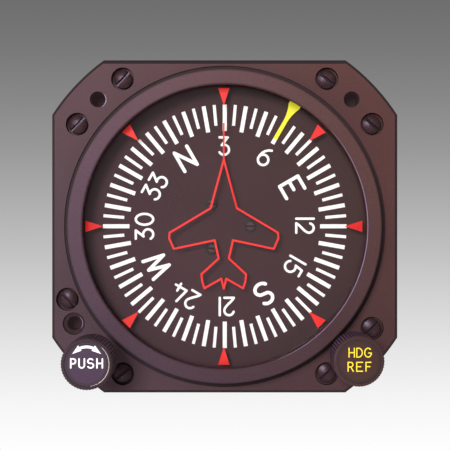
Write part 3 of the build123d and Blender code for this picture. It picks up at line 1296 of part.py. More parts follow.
PIECES = {
    "front_plate": front_plate,
    "mounting_inserts": mounting_inserts,
    "bezel_ring": bezel_ring,
    "cover_glass": cover_glass,
    "glass_gasket": glass_gasket,
    "glass_retaining_ring": glass_retaining_ring,
    "case_screws": case_screws,
    "case_gasket": case_gasket,
    "main_case": main_case,
    "rear_cover": rear_cover,
    "rear_cover_screws": rear_cover_screws,
    "inlet_filter": inlet_filter,
    "filter_screen": filter_screen,
    "vacuum_fitting": vacuum_fitting,
    "air_duct": air_duct,
    "mechanism_frame": mechanism_frame,
    "frame_screws": frame_screws,
    "knob_bushings": knob_bushings,
    "guide_posts": guide_posts,
    "compass_card": compass_card,
    "card_screws": card_screws,
    "card_hub": card_hub,
    "card_shaft": card_shaft,
    "card_gear": card_gear,
    "crown_gear": crown_gear,
    "card_bearing_outer_rings": card_bearing_outer_rings,
    "card_bearing_inner_rings": card_bearing_inner_rings,
    "heading_bug": heading_bug,
    "bug_carrier": bug_carrier,
    "bug_gear": bug_gear,
    "set_knob": lambda: knob_body(SET_KNOB_REACH, -1),
    "set_knob_face": lambda: knob_face(SET_KNOB_REACH, -1),
    "set_shaft": lambda: knob_shaft(-1, SET_KNOB_REACH, SET_PINION_TEETH),
    "set_idler": lambda: idler(-1, SET_IDLER_TEETH),
    "set_carriage": set_carriage,
    "set_return_spring": lambda: return_spring(-1),
    "heading_knob": lambda: knob_body(HEADING_KNOB_REACH, 1),
    "heading_knob_face": lambda: knob_face(HEADING_KNOB_REACH, 1),
    "heading_shaft": lambda: knob_shaft(1, HEADING_KNOB_REACH, HEADING_PINION_TEETH),
    "heading_idler": lambda: idler(1, HEADING_IDLER_TEETH),
    "heading_carriage": heading_carriage,
    "heading_return_spring": lambda: return_spring(1),
    "caging_rod": caging_rod,
    "caging_lever": caging_lever,
    "caging_plunger": caging_plunger,
    "outer_gimbal": outer_gimbal,
    "upper_pivot": upper_pivot,
    "lower_pivot": lower_pivot,
    "azimuth_gear": azimuth_gear,
    "air_nozzle": air_nozzle,
    "gimbal_bearing_outer_rings": gimbal_bearing_outer_rings,
    "gimbal_bearing_inner_rings": gimbal_bearing_inner_rings,
    "inner_gimbal": inner_gimbal,
    "tilt_pivots": tilt_pivots,
    "tilt_bearing_outer_rings": tilt_bearing_outer_rings,
    "tilt_bearing_inner_rings": tilt_bearing_inner_rings,
    "gyro_rotor": gyro_rotor,
    "rotor_shaft": rotor_shaft,
    "rotor_bearing_outer_rings": rotor_bearing_outer_rings,
    "rotor_bearing_inner_rings": rotor_bearing_inner_rings,
}

os.makedirs("parts", exist_ok=True)
for name, make in PIECES.items():
    export_step(make(), f"parts/{name}.step")
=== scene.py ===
"""Looks of a panel-mounted heading indicator: materials, markings, light and camera."""

import json
from math import cos, degrees, hypot, pi, radians, sin, sqrt

import bmesh
import bpy
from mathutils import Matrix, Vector

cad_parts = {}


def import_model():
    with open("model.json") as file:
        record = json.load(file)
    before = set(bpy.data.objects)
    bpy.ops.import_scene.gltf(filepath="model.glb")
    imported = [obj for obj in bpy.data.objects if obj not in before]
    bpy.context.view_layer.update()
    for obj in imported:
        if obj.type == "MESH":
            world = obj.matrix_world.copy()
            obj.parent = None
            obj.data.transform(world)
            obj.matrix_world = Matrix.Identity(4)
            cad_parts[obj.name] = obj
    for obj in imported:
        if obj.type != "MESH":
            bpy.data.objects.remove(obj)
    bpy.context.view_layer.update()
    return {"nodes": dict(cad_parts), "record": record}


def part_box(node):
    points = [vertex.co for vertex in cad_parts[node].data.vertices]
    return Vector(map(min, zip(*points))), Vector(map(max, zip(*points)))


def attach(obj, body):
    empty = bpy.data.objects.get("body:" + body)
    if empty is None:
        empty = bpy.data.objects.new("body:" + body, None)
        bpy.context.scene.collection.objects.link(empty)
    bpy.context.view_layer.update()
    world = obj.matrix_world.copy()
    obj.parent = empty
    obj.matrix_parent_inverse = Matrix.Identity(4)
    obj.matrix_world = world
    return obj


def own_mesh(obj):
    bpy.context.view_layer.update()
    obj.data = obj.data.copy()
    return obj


MM = 0.001
FULL_TURN = 360.0
QUARTER_TURN = 90.0
TOWARDS_PILOT = (0.0, -1.0, 0.0)
INWARDS = (0.0, 1.0, 0.0)

# Compass card, in millimetres from its centre
TICKS = 72
TICK_OUTER_R = 30.4
MAJOR_INNER_R = 23.8
MINOR_INNER_R = 25.2
MAJOR_WIDTH = 1.02
MINOR_WIDTH = 0.76
FIGURES = ("3", "6", "E", "12", "15", "S", "21", "24", "W", "30", "33", "N")
FIGURE_TOP_R = 22.5
FIGURE_HEIGHT = 4.95
FIGURE_STROKE = 0.6
FIGURE_GAP = 0.55
FIGURE_ASIDE = {"21": -0.5, "12": -0.15, "3": -0.12}
LETTER_HEIGHT = 6.1
LETTER_STROKE = 0.86
CARD_SCREWS = 3
CARD_SCREW_CIRCLE_R = 6.4
CARD_SCREW_SHADE_R = 1.52        # painted shade ring round each screw
CARD_SCREW_SHADE_WIDTH = 0.36

# Marks on the back of the glass, in millimetres; the printing is not quite centred
MARKS = 8
MARK_OUTER_R = 34.1
MARK_INNER_R = 29.7
MARK_WIDTH = 2.8
MARKS_MIDDLE = (-0.2, 0.0)
PLANE_MIDDLE = (-0.22, 0.15)
PLANE_LINE = 0.47
PLANE_NOSE = (0.0, 16.3)
PLANE_HALF = (
    (3.25, 4.3), (13.35, -1.72), (13.45, -3.1), (12.3, -5.7), (2.25, -3.56),
    (1.25, -8.05), (5.5, -11.95), (5.35, -13.6), (4.75, -15.4), (0.62, -13.05),
)
PLANE_TAIL = (0.0, -15.5)
CENTRE_LINE = 0.4
CENTRE_LINE_TOP = 25.3

# Lettering of the knobs, in millimetres about each knob's axis
PUSH_WORD = {"height": 2.4, "stroke": 0.35, "gap": 0.44, "middle": 0.2}
HEADING_WORDS = {
    "HDG": {"height": 2.35, "stroke": 0.28, "gap": 0.28, "middle": 2.03, "aside": 0.25},
    "REF": {"height": 2.35, "stroke": 0.28, "gap": 0.52, "middle": -1.25, "aside": 0.07},
}
ARROW_R = 3.97
ARROW_WIDTH = 0.62
ARROW_SPREAD = 24.0             # degrees to either side of the top
ARROW_HEAD = ((3.3, 2.34), (1.92, 4.3), (1.15, 3.1))
# Painted shade lines that stand for fine turned grooves in the knob faces: radii and width in
# millimetres
FACE_RINGS = (4.6, 5.0)
FACE_RING_WIDTH = 0.2

# Painted highlights along edges lit from the left: radius and width in millimetres, and the angles of
# both ends from the right
KNOB_HIGHLIGHT = (5.1, 0.17, 50.0, -80.0)
RING_HIGHLIGHT = (34.66, 0.17, 42.0, -68.0)
UPPER_HOLE_HIGHLIGHT = (2.04, 0.15, 45.0, -60.0)
LOWER_HOLE_HIGHLIGHT = (2.06, 0.13, 55.0, -40.0)
BOLT_CIRCLE_R = 44.45
UPPER_HOLE_ANGLE = -45.0        # clockwise from the top
LOWER_HOLE_ANGLE = -122.85
HIGHLIGHT_TIP = 0.25                 # share of the width that is left at the ends
HIGHLIGHT_STEP = 2.5                 # degrees between the points of an edge highlight

# Painted marks and their strokes
FILM = 0.02                     # thickness
FILM_STEP = 0.0005              # each stroke lies this much over the one before
SAME_PLACE = 0.005              # points nearer than this are one
MERGE = 0.000125                # corners nearer than this are joined in a mesh
ROUND_STEP = 12.0               # degrees between points of an arc
CURVE_STEPS = 12
SHARP_TURN = 35.0               # degrees, above which a stroke is broken and its ends are rounded

# Springs that return the pushed knobs: node, joint and its travel in millimetres
RETURN_SPRINGS = (("set_return_spring", "set_push", 4.0), ("heading_return_spring", "heading_push", 2.4))

# Faded finishes: display colours from 0 to 255 of the face's left and right, whose change across the
# face is a painted tint of the light, and of the sides, which carry painted shade; grain in cycles to a
# millimetre; depth, edge, reach and groove in millimetres, the groove getting painted shade; painted
# falloff is painted shade from the palest corner to the darkest, as factors on the colour
PLATE = {"faces": ((82, 61, 69), (87, 54, 51)), "side": (46, 33, 36), "roughness": 0.5,
         "groove": (37.0, 39.85)}
RING = {"faces": ((93, 69, 85), (95, 62, 57)), "side": (40, 27, 29), "roughness": 0.45,
        "facing": (0.3, 0.65), "painted_falloff": (0.89, 0.47)}
DIAL = {"faces": ((73, 45, 54), (67, 42, 39)), "side": (34, 25, 25), "roughness": 0.65,
        "grain": 3.0, "depth": 0.006, "edge": 0.05, "painted_falloff": (0.92, 0.87)}
KNOB = {"grain": 3.0, "depth": 0.012, "edge": 0.1, "facing": (0.5, 0.68), "tilt": 0.0,
        "painted_falloff": (0.92, 0.92)}
KNOB_FACE = {"faces": ((76, 57, 77), (71, 47, 43)), "side": (58, 42, 52), "roughness": 0.42,
             "reach": 30.0}
HEADING_KNOB = {"faces": ((79, 56, 66), (69, 46, 43)), "side": (58, 42, 54), "roughness": 0.42,
                "reach": 60.0}
SET_KNOB = {"faces": ((68, 50, 58), (56, 40, 42)), "side": (52, 38, 44), "roughness": 0.4,
            "reach": 60.0}
FADED_GLOSS = 0.12
FADED_SPREAD = 0.07             # of the roughness
# Painted shade for the falloff of the light: darker downwards and to the right
SHADE_FALLOFF_TILT = 3.0                 # the finish grows darker downwards, and a third as fast to the right
GROOVE_BLUR = 0.3
EDGE_SAMPLES = 4
KNURLS = 52
CREST = (-0.2, 0.9)             # where a knurl's crest begins and is full, on a wave from -1 to 1

# Metals: linear colours of bare metal, display colours of blackened steel
STEEL = {"colour": (0.55, 0.54, 0.53, 1.0), "roughness": 0.3}
BRASS = {"colour": (0.62, 0.42, 0.16, 1.0), "roughness": 0.32, "stain": 0.65}
ALUMINIUM = {"colour": (0.72, 0.72, 0.73, 1.0), "roughness": 0.38, "stretch": (6.0, 1.0, 1.0),
             "stain": 0.85}
METAL_SPREAD = (-0.1, 0.12)
METAL_RELIEF = {"depth": 0.006, "edge": 0.08}
BLACK_STEEL = {"colour": (54, 35, 34), "worn": (86, 60, 62), "roughness": 0.28}
DULL_SCREW = {"colour": (74, 53, 52), "worn": (100, 76, 74), "roughness": 0.6}
# The insert's painted glow is painted light that brightens its deep, shaded bores.
DULL_INSERT = {"colour": (38, 27, 28), "worn": (50, 37, 37), "roughness": 0.8, "painted_glow": 0.9}
BLACK_GLOSS = 0.22
BLACK_TINT = (0.97, 0.76, 1.0, 1.0)
BLACK_FACING = (0.93, 0.99)
BLACK_SPREAD = (-0.08, 0.12)
BLACK_RELIEF = {"depth": 0.015, "edge": 0.12}
RUBBED = (0.5, 0.72)            # noise at which the black begins to be worn, and at which it is gone
SCREW_SLOT_LEVEL = 0.55         # slots of the case screws, deeper than this behind their heads' tops, get painted shade
CARD_SLOT_LEVEL = 0.15
SLOT_BLUR = 0.03

# Inks and enamels: display colours; the painted glow of the white, red and yellow dial marks is painted
# light that keeps them bright where shade falls
WHITE_INK = {"colour": (255, 253, 251), "painted_glow": 0.08}
RED_INK = {"colour": (224, 30, 26), "painted_glow": 0.25}
YELLOW_INK = {"colour": (246, 222, 50)}
BUG_YELLOW = {"colour": (222, 212, 38), "painted_glow": 0.5}
# Painted shade round the card screws
SCREW_SHADE_RING = {"colour": (26, 19, 19)}
# Painted shade lines for the turned rings of the knob faces
RING_GROOVE_SHADE = {"colour": (36, 26, 27)}
# Painted highlights along edges
PALE_HIGHLIGHT_PAINT = {"colour": (250, 244, 226), "roughness": 0.3}
VIOLET_HIGHLIGHT_PAINT = {"colour": (138, 116, 148), "roughness": 0.3}
FLOOR_PAINT = {"colour": (235, 235, 235), "roughness": 0.8}
INK_GLOSS = 0.3
INK_RELIEF = 0.004

# Case, rubber, felt and glass
CASE_BLACK = (38, 37, 38)
CASE_ROUGHNESS = 0.5
CASE_GLOSS = 0.4
WRINKLE_RANGE = (0.0, 0.8)
WRINKLE_ROUGHNESS = (0.42, 0.6)
WRINKLE_RELIEF = {"depth": 0.07, "edge": 0.2}
RUBBER_BLACK = (30, 29, 29)
RUBBER_ROUGHNESS = 0.8
RUBBER_GLOSS = 0.25
RUBBER_RELIEF = 0.03
FELT_WHITE = (216, 210, 192)
FELT_ROUGHNESS = 0.95
FELT_GLOSS = 0.1
FELT_SHEEN = 0.4
FELT_RELIEF = 0.25
FIBRE_STRETCH = 7.0
GLASS_TINT = (0.985, 0.99, 0.985, 1.0)
GLASS_ROUGHNESS = 0.03
GLASS_IOR = 1.35                # coated glass

# Noise, its scale in cycles to a millimetre
NOISE_RANGE = (0.3, 0.7)        # most of a noise lies between these
CLOUDS = {"scale": 0.05, "detail": 3.0}
FADED_GRAIN = {"detail": 6.0, "roughness": 0.7}
INK_CLOUDS = {"scale": 1.5, "detail": 5.0}
TOOL_MARKS = {"scale": 3.0, "detail": 5.0, "roughness": 0.65}
STAINS = {"scale": 0.35, "detail": 4.0}
RUBBED_SPOTS = {"scale": 1.6, "detail": 6.0, "roughness": 0.7}
STEEL_GRAIN = {"scale": 5.0, "detail": 4.0}
RUBBER_GRAIN = {"scale": 4.0, "detail": 6.0}
FIBRES = {"scale": 1.3, "detail": 8.0, "roughness": 0.75}
WRINKLE_WARP = {"scale": 0.9, "detail": 3.0}
WRINKLE_CELLS = {"Scale": 1.7, "Smoothness": 0.6}

# Shades: factors on a finish's colour
CLOUD_SHADES = (0.93, 1.07)
SPECKLE_SHADES = (0.8, 1.2)
KNURL_SHADE_AND_HIGHLIGHT = (0.5, 3.0)       # painted shade between the crests and painted highlight on them
INK_SHADE = 0.95
RUBBER_SHADES = (0.7, 1.4)
FELT_SHADE = 0.6
WRINKLE_SHADES = (0.8, 1.5)
# Painted shade on the rims of blackened heads and in their slots
BLACK_SIDE_SHADE = 0.4
SLOT_SHADE = 0.25

# Picture: the camera stands almost straight in front of the dial's centre
IMAGE_SIDE = 450                # pixels
PICTURE_SCALE = 4.037           # pixels in a millimetre at the flange
DIAL_CENTRE = (224.7, 226.3)    # pixels
CAMERA_X = 1.5
CAMERA_Z = 1.0
CAMERA_DISTANCE = 250.0
SENSOR = 36.0
CLIP_START = 25.0
CLIP_END = 10000.0

# Stage and lamps: places and sizes in millimetres, powers in watts
FLOOR_DROP = 300.0
FLOOR_R = 950.0
FLOOR_SIDES = 96
BACKDROP_GREYS = (110, 121, 136, 153, 173, 192, 212, 230, 245, 254)  # evenly spaced, top to bottom
FILL_COLOUR = (1.0, 0.99, 1.0, 1.0)
FILL_STRENGTH = 0.42
KEY = {"place": (-370.0, -1500.0, 370.0), "size": 480.0, "power": 20.0, "colour": (1.0, 0.97, 1.0)}
WARM = {"place": (700.0, -250.0, 500.0), "size": 300.0, "power": 0.8, "colour": (1.0, 0.9, 0.82)}
SIDE = {"place": (-900.0, -260.0, 160.0), "size": 260.0, "power": 2.0, "colour": (0.97, 0.93, 1.0)}


# Colours

def srgb(display):
    """Linear colour from 0 to 255 display values."""
    def linear(value):
        """One channel by the sRGB rule."""
        value /= 255.0
        return value / 12.92 if value <= 0.04045 else ((value + 0.055) / 1.055) ** 2.4
    return tuple(linear(value) for value in display) + (1.0,)


def shade(colour, factor):
    """The colour made darker or lighter."""
    return tuple(channel * factor for channel in colour[:3]) + (1.0,)


# Places on nodes

def front_of(node):
    """Front of a node, in millimetres."""
    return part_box(node)[0].y / MM


def middle_of(node):
    """Centre of a node as the pilot sees it, in millimetres."""
    low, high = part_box(node)
    return (low.x + high.x) / 2 / MM, (low.z + high.z) / 2 / MM


# Shader nodes

def add_node(tree, kind, settings=None, **inputs):
    """A shader node with its settings and its inputs, by name."""
    made = tree.nodes.new(kind)
    for name, value in (settings or {}).items():
        setattr(made, name, value)
    for name, value in inputs.items():
        made.inputs[name.replace("_", " ")].default_value = value
    return made


def feed(tree, socket, source):
    """Give an input a fixed value, or link it to an output."""
    if isinstance(source, bpy.types.NodeSocket):
        tree.links.new(source, socket)
    else:
        socket.default_value = source


def maths(tree, operation, *operands):
    """Result of a calculation with numbers, each fixed or an output."""
    made = add_node(tree, "ShaderNodeMath", {"operation": operation})
    for socket, operand in zip(made.inputs, operands):
        feed(tree, socket, operand)
    return made.outputs["Value"]


def vector_maths(tree, operation, *operands, result="Vector"):
    """Result of a calculation with vectors, each fixed or an output."""
    made = add_node(tree, "ShaderNodeVectorMath", {"operation": operation})
    for socket, operand in zip(made.inputs, operands):
        feed(tree, socket, operand)
    return made.outputs[result]


def scaled(tree, colour, factor):
    """A colour made lighter or darker by a factor."""
    made = add_node(tree, "ShaderNodeVectorMath", {"operation": "SCALE"})
    tree.links.new(colour, made.inputs[0])
    tree.links.new(factor, made.inputs["Scale"])
    return made.outputs["Vector"]


def ranged(tree, value, low, high, source=NOISE_RANGE):
    """The value stretched from its source's range to one from low to high."""
    start, end = source
    made = add_node(tree, "ShaderNodeMapRange", From_Min=start, From_Max=end, To_Min=low, To_Max=high)
    tree.links.new(value, made.inputs["Value"])
    return made.outputs["Result"]


def share(tree, value, source=NOISE_RANGE):
    """Nought at the start of the source's range and one at its end."""
    return ranged(tree, value, 0.0, 1.0, source)


def mixed(tree, factor, first, second):
    """Colour between two others, each a colour or an output."""
    made = add_node(tree, "ShaderNodeMix", {"data_type": "RGBA"})
    sockets = {socket.identifier: socket for socket in made.inputs}
    tree.links.new(factor, sockets["Factor_Float"])
    feed(tree, sockets["A_Color"], first)
    feed(tree, sockets["B_Color"], second)
    return next(output for output in made.outputs if output.identifier == "Result_Color")


def piece_place(tree):
    """Coordinates that stay with the piece, in metres."""
    return add_node(tree, "ShaderNodeTexCoord").outputs["Object"]


def grain_place(tree, stretch=(1.0, 1.0, 1.0)):
    """Coordinates that stay with the piece, in millimetres, stretched along an axis for a grain."""
    mapping = add_node(tree, "ShaderNodeMapping", Scale=tuple(factor / MM for factor in stretch))
    tree.links.new(piece_place(tree), mapping.inputs["Vector"])
    return mapping.outputs["Vector"]


def noise(tree, where, scale, detail, roughness=0.55):
    """Noise of a scale in cycles to a millimetre."""
    made = add_node(tree, "ShaderNodeTexNoise", Scale=scale, Detail=detail, Roughness=roughness)
    tree.links.new(where, made.inputs["Vector"])
    return made.outputs["Fac"]


def relief(tree, shader, height, depth, edge=0.0):
    """Bump of a depth in millimetres, over edges rounded by a radius in millimetres."""
    bump = add_node(tree, "ShaderNodeBump", Strength=1.0, Distance=depth * MM)
    tree.links.new(height, bump.inputs["Height"])
    if edge > 0:
        rounded = add_node(tree, "ShaderNodeBevel", {"samples": EDGE_SAMPLES}, Radius=edge * MM)
        tree.links.new(rounded.outputs["Normal"], bump.inputs["Normal"])
    tree.links.new(bump.outputs["Normal"], shader.inputs["Normal"])


# Where a point lies on its piece

def along(tree, direction):
    """How far a point lies along a direction, in millimetres."""
    slope = tuple(part / MM for part in direction)
    return vector_maths(tree, "DOT_PRODUCT", piece_place(tree), slope, result="Value")


def across_face(tree, tilt, reach):
    """From nought at the left to one at the right, tilted by a share to grow downwards too."""
    return share(tree, along(tree, (1.0, 0.0, -tilt)), (-reach, reach))


def facing_pilot(tree, source):
    """One on a surface that faces the pilot, nought on sides and edges."""
    normal = add_node(tree, "ShaderNodeNewGeometry").outputs["Normal"]
    return share(tree, vector_maths(tree, "DOT_PRODUCT", normal, TOWARDS_PILOT, result="Value"), source)


def sunk(tree, level):
    """One on what lies deeper than a level, in millimetres behind the flange's front."""
    return share(tree, along(tree, INWARDS), (level - SLOT_BLUR, level + SLOT_BLUR))


def in_groove(tree, inner, outer):
    """One in a round groove about the dial's axis, between two radii in millimetres."""
    flat = vector_maths(tree, "MULTIPLY", piece_place(tree), (1.0 / MM, 0.0, 1.0 / MM))
    radius = vector_maths(tree, "LENGTH", flat, result="Value")
    past = ranged(tree, radius, 0.0, 1.0, (inner, inner + GROOVE_BLUR))
    before = ranged(tree, radius, 1.0, 0.0, (outer - GROOVE_BLUR, outer))
    return maths(tree, "MULTIPLY", past, before)


def crests(tree, axis):
    """One on the crests of a knob's knurls and nought between them, about the knob's axis."""
    centre = (axis[0] * MM, 0.0, axis[1] * MM)
    parts = add_node(tree, "ShaderNodeSeparateXYZ")
    tree.links.new(vector_maths(tree, "SUBTRACT", piece_place(tree), centre), parts.inputs[0])
    angle = maths(tree, "ARCTAN2", parts.outputs["Z"], parts.outputs["X"])
    wave = maths(tree, "COSINE", maths(tree, "MULTIPLY", angle, KNURLS))
    return share(tree, wave, CREST)


# Materials

def material(name, colour, roughness, **inputs):
    """A Principled material and its tree and shader."""
    made = bpy.data.materials.new(name)
    made.use_nodes = True
    shader = made.node_tree.nodes["Principled BSDF"]
    shader.inputs["Base Color"].default_value = colour
    shader.inputs["Roughness"].default_value = roughness
    for key, value in inputs.items():
        shader.inputs[key.replace("_", " ")].default_value = value
    return made, made.node_tree, shader


def faded_face_and_painted_light(tree, faces, fine, tilt, reach, painted_falloff):
    """Colour of a faded face, cloudy and speckled, with painted light: a tint from violet to brown
    across it and painted shade growing downwards.
    """
    cloud = ranged(tree, noise(tree, grain_place(tree), **CLOUDS), *CLOUD_SHADES)
    speckle = ranged(tree, fine, *SPECKLE_SHADES, (0.0, 1.0))
    darker = ranged(tree, across_face(tree, SHADE_FALLOFF_TILT, SHADE_FALLOFF_TILT * reach), *painted_falloff, (0.0, 1.0))
    face = mixed(tree, across_face(tree, tilt, reach), srgb(faces[0]), srgb(faces[1]))
    uneven = maths(tree, "MULTIPLY", maths(tree, "MULTIPLY", cloud, darker), speckle)
    return scaled(tree, face, uneven)


def side_shade_and_crest_highlights(tree, side, knurled):
    """Painted shade on what does not face the pilot: plain, or with painted highlights on the crests of
    knurls about an axis.
    """
    if not knurled:
        return side
    between, crest_highlight = KNURL_SHADE_AND_HIGHLIGHT
    return mixed(tree, crests(tree, knurled), shade(side, between), shade(side, crest_highlight))


def faded_paint_and_shade(name, faces, side, roughness, grain=2.2, depth=0.02, edge=0.12, facing=(0.8, 0.97),
                tilt=-0.5, reach=50.0, painted_falloff=(0.96, 0.70), groove=None, knurled=None):
    """Dyed black finish that has faded unevenly, with painted shade on its sides and in a groove and
    painted light across its faces.
    """
    made, tree, shader = material(name, srgb(faces[0]), roughness, Specular_IOR_Level=FADED_GLOSS)
    fine = share(tree, noise(tree, grain_place(tree), grain, **FADED_GRAIN))
    colour = faded_face_and_painted_light(tree, faces, fine, tilt, reach, painted_falloff)
    # Painted shade in the groove round the bezel ring.
    if groove:
        colour = mixed(tree, in_groove(tree, *groove), colour, srgb(side))
    # Painted shade on sides and edges that do not face the pilot.
    dark = side_shade_and_crest_highlights(tree, srgb(side), knurled)
    colour = mixed(tree, facing_pilot(tree, facing), dark, colour)
    uneven = ranged(tree, fine, roughness - FADED_SPREAD, roughness + FADED_SPREAD, (0.0, 1.0))
    tree.links.new(colour, shader.inputs["Base Color"])
    tree.links.new(uneven, shader.inputs["Roughness"])
    relief(tree, shader, fine, depth, edge)
    return made


def print_paint(name, colour, roughness=0.5, painted_glow=0.0):
    """Flat printing ink or enamel with a faint unevenness; a painted glow keeps some bright in shade."""
    linear = srgb(colour)
    made, tree, shader = material(name, linear, roughness, Specular_IOR_Level=INK_GLOSS,
                                  Emission_Color=linear, Emission_Strength=painted_glow)
    uneven = noise(tree, grain_place(tree), **INK_CLOUDS)
    tint = mixed(tree, share(tree, uneven), shade(linear, INK_SHADE), linear)
    tree.links.new(tint, shader.inputs["Base Color"])
    relief(tree, shader, uneven, INK_RELIEF)
    return made


def turned_metal(name, colour, roughness, stretch=(1.0, 14.0, 1.0), stain=0.8):
    """Machined metal: fine tool marks, slight stains and a soft edge."""
    made, tree, shader = material(name, colour, roughness, Metallic=1.0)
    marks = noise(tree, grain_place(tree, stretch), **TOOL_MARKS)
    cloud = share(tree, noise(tree, grain_place(tree), **STAINS))
    smoothest, roughest = (roughness + change for change in METAL_SPREAD)
    tree.links.new(mixed(tree, cloud, shade(colour, stain), colour), shader.inputs["Base Color"])
    tree.links.new(ranged(tree, marks, smoothest, roughest), shader.inputs["Roughness"])
    relief(tree, shader, marks, **METAL_RELIEF)
    return made


def blackened_metal(name, colour, worn, roughness, painted_glow=0.0, slot_level=None):
    """Blackened steel, rubbed through in small spots, with painted shade on its rims and, where a level
    is given, in its slots; a painted glow brightens a deep bore as if lit from within.
    """
    linear = srgb(colour)
    made, tree, shader = material(name, linear, roughness, Specular_IOR_Level=BLACK_GLOSS,
                                  Specular_Tint=BLACK_TINT, Emission_Color=linear,
                                  Emission_Strength=painted_glow)
    spots = share(tree, noise(tree, grain_place(tree), **RUBBED_SPOTS), RUBBED)
    face = mixed(tree, spots, linear, srgb(worn))
    # Painted shade: the rims of the heads are darker, and so are slots deeper than the level.
    tint = mixed(tree, facing_pilot(tree, BLACK_FACING), shade(linear, BLACK_SIDE_SHADE), face)
    if slot_level is not None:
        tint = mixed(tree, sunk(tree, slot_level), tint, shade(linear, SLOT_SHADE))
    fine = noise(tree, grain_place(tree), **STEEL_GRAIN)
    smoothest, roughest = (roughness + change for change in BLACK_SPREAD)
    tree.links.new(tint, shader.inputs["Base Color"])
    tree.links.new(ranged(tree, fine, smoothest, roughest), shader.inputs["Roughness"])
    relief(tree, shader, fine, **BLACK_RELIEF)
    return made


def rubber(name):
    """Dull rubber with a fine dusty grain."""
    colour = srgb(RUBBER_BLACK)
    made, tree, shader = material(name, colour, RUBBER_ROUGHNESS, Specular_IOR_Level=RUBBER_GLOSS)
    grain = noise(tree, grain_place(tree), **RUBBER_GRAIN)
    dark, pale = (shade(colour, factor) for factor in RUBBER_SHADES)
    tree.links.new(mixed(tree, share(tree, grain), dark, pale), shader.inputs["Base Color"])
    relief(tree, shader, grain, RUBBER_RELIEF)
    return made


def felt(name):
    """Matted fibres of the air filter."""
    colour = srgb(FELT_WHITE)
    made, tree, shader = material(name, colour, FELT_ROUGHNESS, Specular_IOR_Level=FELT_GLOSS,
                                  Sheen_Weight=FELT_SHEEN)
    upright = noise(tree, grain_place(tree, (1.0, 1.0, FIBRE_STRETCH)), **FIBRES)
    level = noise(tree, grain_place(tree, (FIBRE_STRETCH, 1.0, 1.0)), **FIBRES)
    tint = mixed(tree, share(tree, upright), shade(colour, FELT_SHADE), colour)
    tree.links.new(tint, shader.inputs["Base Color"])
    relief(tree, shader, maths(tree, "ADD", upright, level), FELT_RELIEF)
    return made


def wrinkle_paint(name):
    """Black wrinkle finish of the case."""
    colour = srgb(CASE_BLACK)
    made, tree, shader = material(name, colour, CASE_ROUGHNESS, Specular_IOR_Level=CASE_GLOSS)
    where = grain_place(tree)
    cells = add_node(tree, "ShaderNodeTexVoronoi", {"feature": "SMOOTH_F1"}, **WRINKLE_CELLS)
    bent = vector_maths(tree, "ADD", where, noise(tree, where, **WRINKLE_WARP))
    tree.links.new(bent, cells.inputs["Vector"])
    height = cells.outputs["Distance"]
    dark, pale = (shade(colour, factor) for factor in WRINKLE_SHADES)
    tint = mixed(tree, share(tree, height, WRINKLE_RANGE), dark, pale)
    uneven = ranged(tree, height, *WRINKLE_ROUGHNESS, WRINKLE_RANGE)
    tree.links.new(tint, shader.inputs["Base Color"])
    tree.links.new(uneven, shader.inputs["Roughness"])
    relief(tree, shader, height, **WRINKLE_RELIEF)
    return made


def pane(name):
    """Clear flat glass that lets the lamps through and mirrors alike from inside and outside."""
    made = bpy.data.materials.new(name)
    made.use_nodes = True
    tree = made.node_tree
    tree.nodes.remove(tree.nodes["Principled BSDF"])
    clear = add_node(tree, "ShaderNodeBsdfTransparent", Color=GLASS_TINT)
    gloss = add_node(tree, "ShaderNodeBsdfGlossy", Roughness=GLASS_ROUGHNESS)
    fresnel = add_node(tree, "ShaderNodeFresnel")
    within = add_node(tree, "ShaderNodeNewGeometry").outputs["Backfacing"]
    tree.links.new(ranged(tree, within, GLASS_IOR, 1.0 / GLASS_IOR, (0.0, 1.0)), fresnel.inputs["IOR"])
    mix = add_node(tree, "ShaderNodeMixShader")
    tree.links.new(fresnel.outputs["Fac"], mix.inputs["Fac"])
    tree.links.new(clear.outputs["BSDF"], mix.inputs[1])
    tree.links.new(gloss.outputs["BSDF"], mix.inputs[2])
    tree.links.new(mix.outputs["Shader"], tree.nodes["Material Output"].inputs["Surface"])
    return made


def slot_materials():
    """One material for each of the part's material slots."""
    return {
        "anodised_plate": faded_paint_and_shade("faded_plate_and_painted_shade", **PLATE),
        "case_paint": wrinkle_paint("wrinkle_black"),
        "clear_glass": pane("pane"),
        "rubber": rubber("black_rubber"),
        "blackened_steel": blackened_metal("blackened_steel", **BLACK_STEEL),
        "steel": turned_metal("steel", **STEEL),
        "brass": turned_metal("brass", **BRASS),
        "aluminium": turned_metal("aluminium", **ALUMINIUM),
        "dial_black": faded_paint_and_shade("dial_black", **DIAL),
        "bug_yellow": print_paint("bug_yellow", **BUG_YELLOW),
        "knob_black": faded_paint_and_shade("knob_black", **KNOB, **KNOB_FACE),
        "filter_felt": felt("filter_felt"),
    }


def own_materials():
    """Materials of the nodes that look unlike others of their slot."""
    screw_slots = front_of("case_screws") + SCREW_SLOT_LEVEL
    card_slots = front_of("card_screws") + CARD_SLOT_LEVEL
    return {
        "mounting_inserts": blackened_metal("dull_insert", **DULL_INSERT),
        "case_screws": blackened_metal("case_screws", **BLACK_STEEL, slot_level=screw_slots),
        "card_screws": blackened_metal("dull_screws", **DULL_SCREW, slot_level=card_slots),
        "heading_knob": faded_paint_and_shade("heading_knob_body", **KNOB, **HEADING_KNOB,
                                    knurled=middle_of("heading_knob")),
        "bezel_ring": faded_paint_and_shade("faded_ring_and_painted_shade", **RING),
        "set_knob": faded_paint_and_shade("set_knob_body", **KNOB, **SET_KNOB, knurled=middle_of("set_knob")),
    }


def dress(piece, finish):
    """Put one material on a whole piece."""
    piece.data.materials.clear()
    piece.data.materials.append(finish)


def dress_nodes(frame):
    """Give every node its own material, or else that of its slot."""
    finishes = slot_materials()
    own = own_materials()
    for part in frame["record"]["subparts"]:
        finish = own.get(part["node"], finishes[part["material_slot"]])
        dress(frame["nodes"][part["node"]], finish)


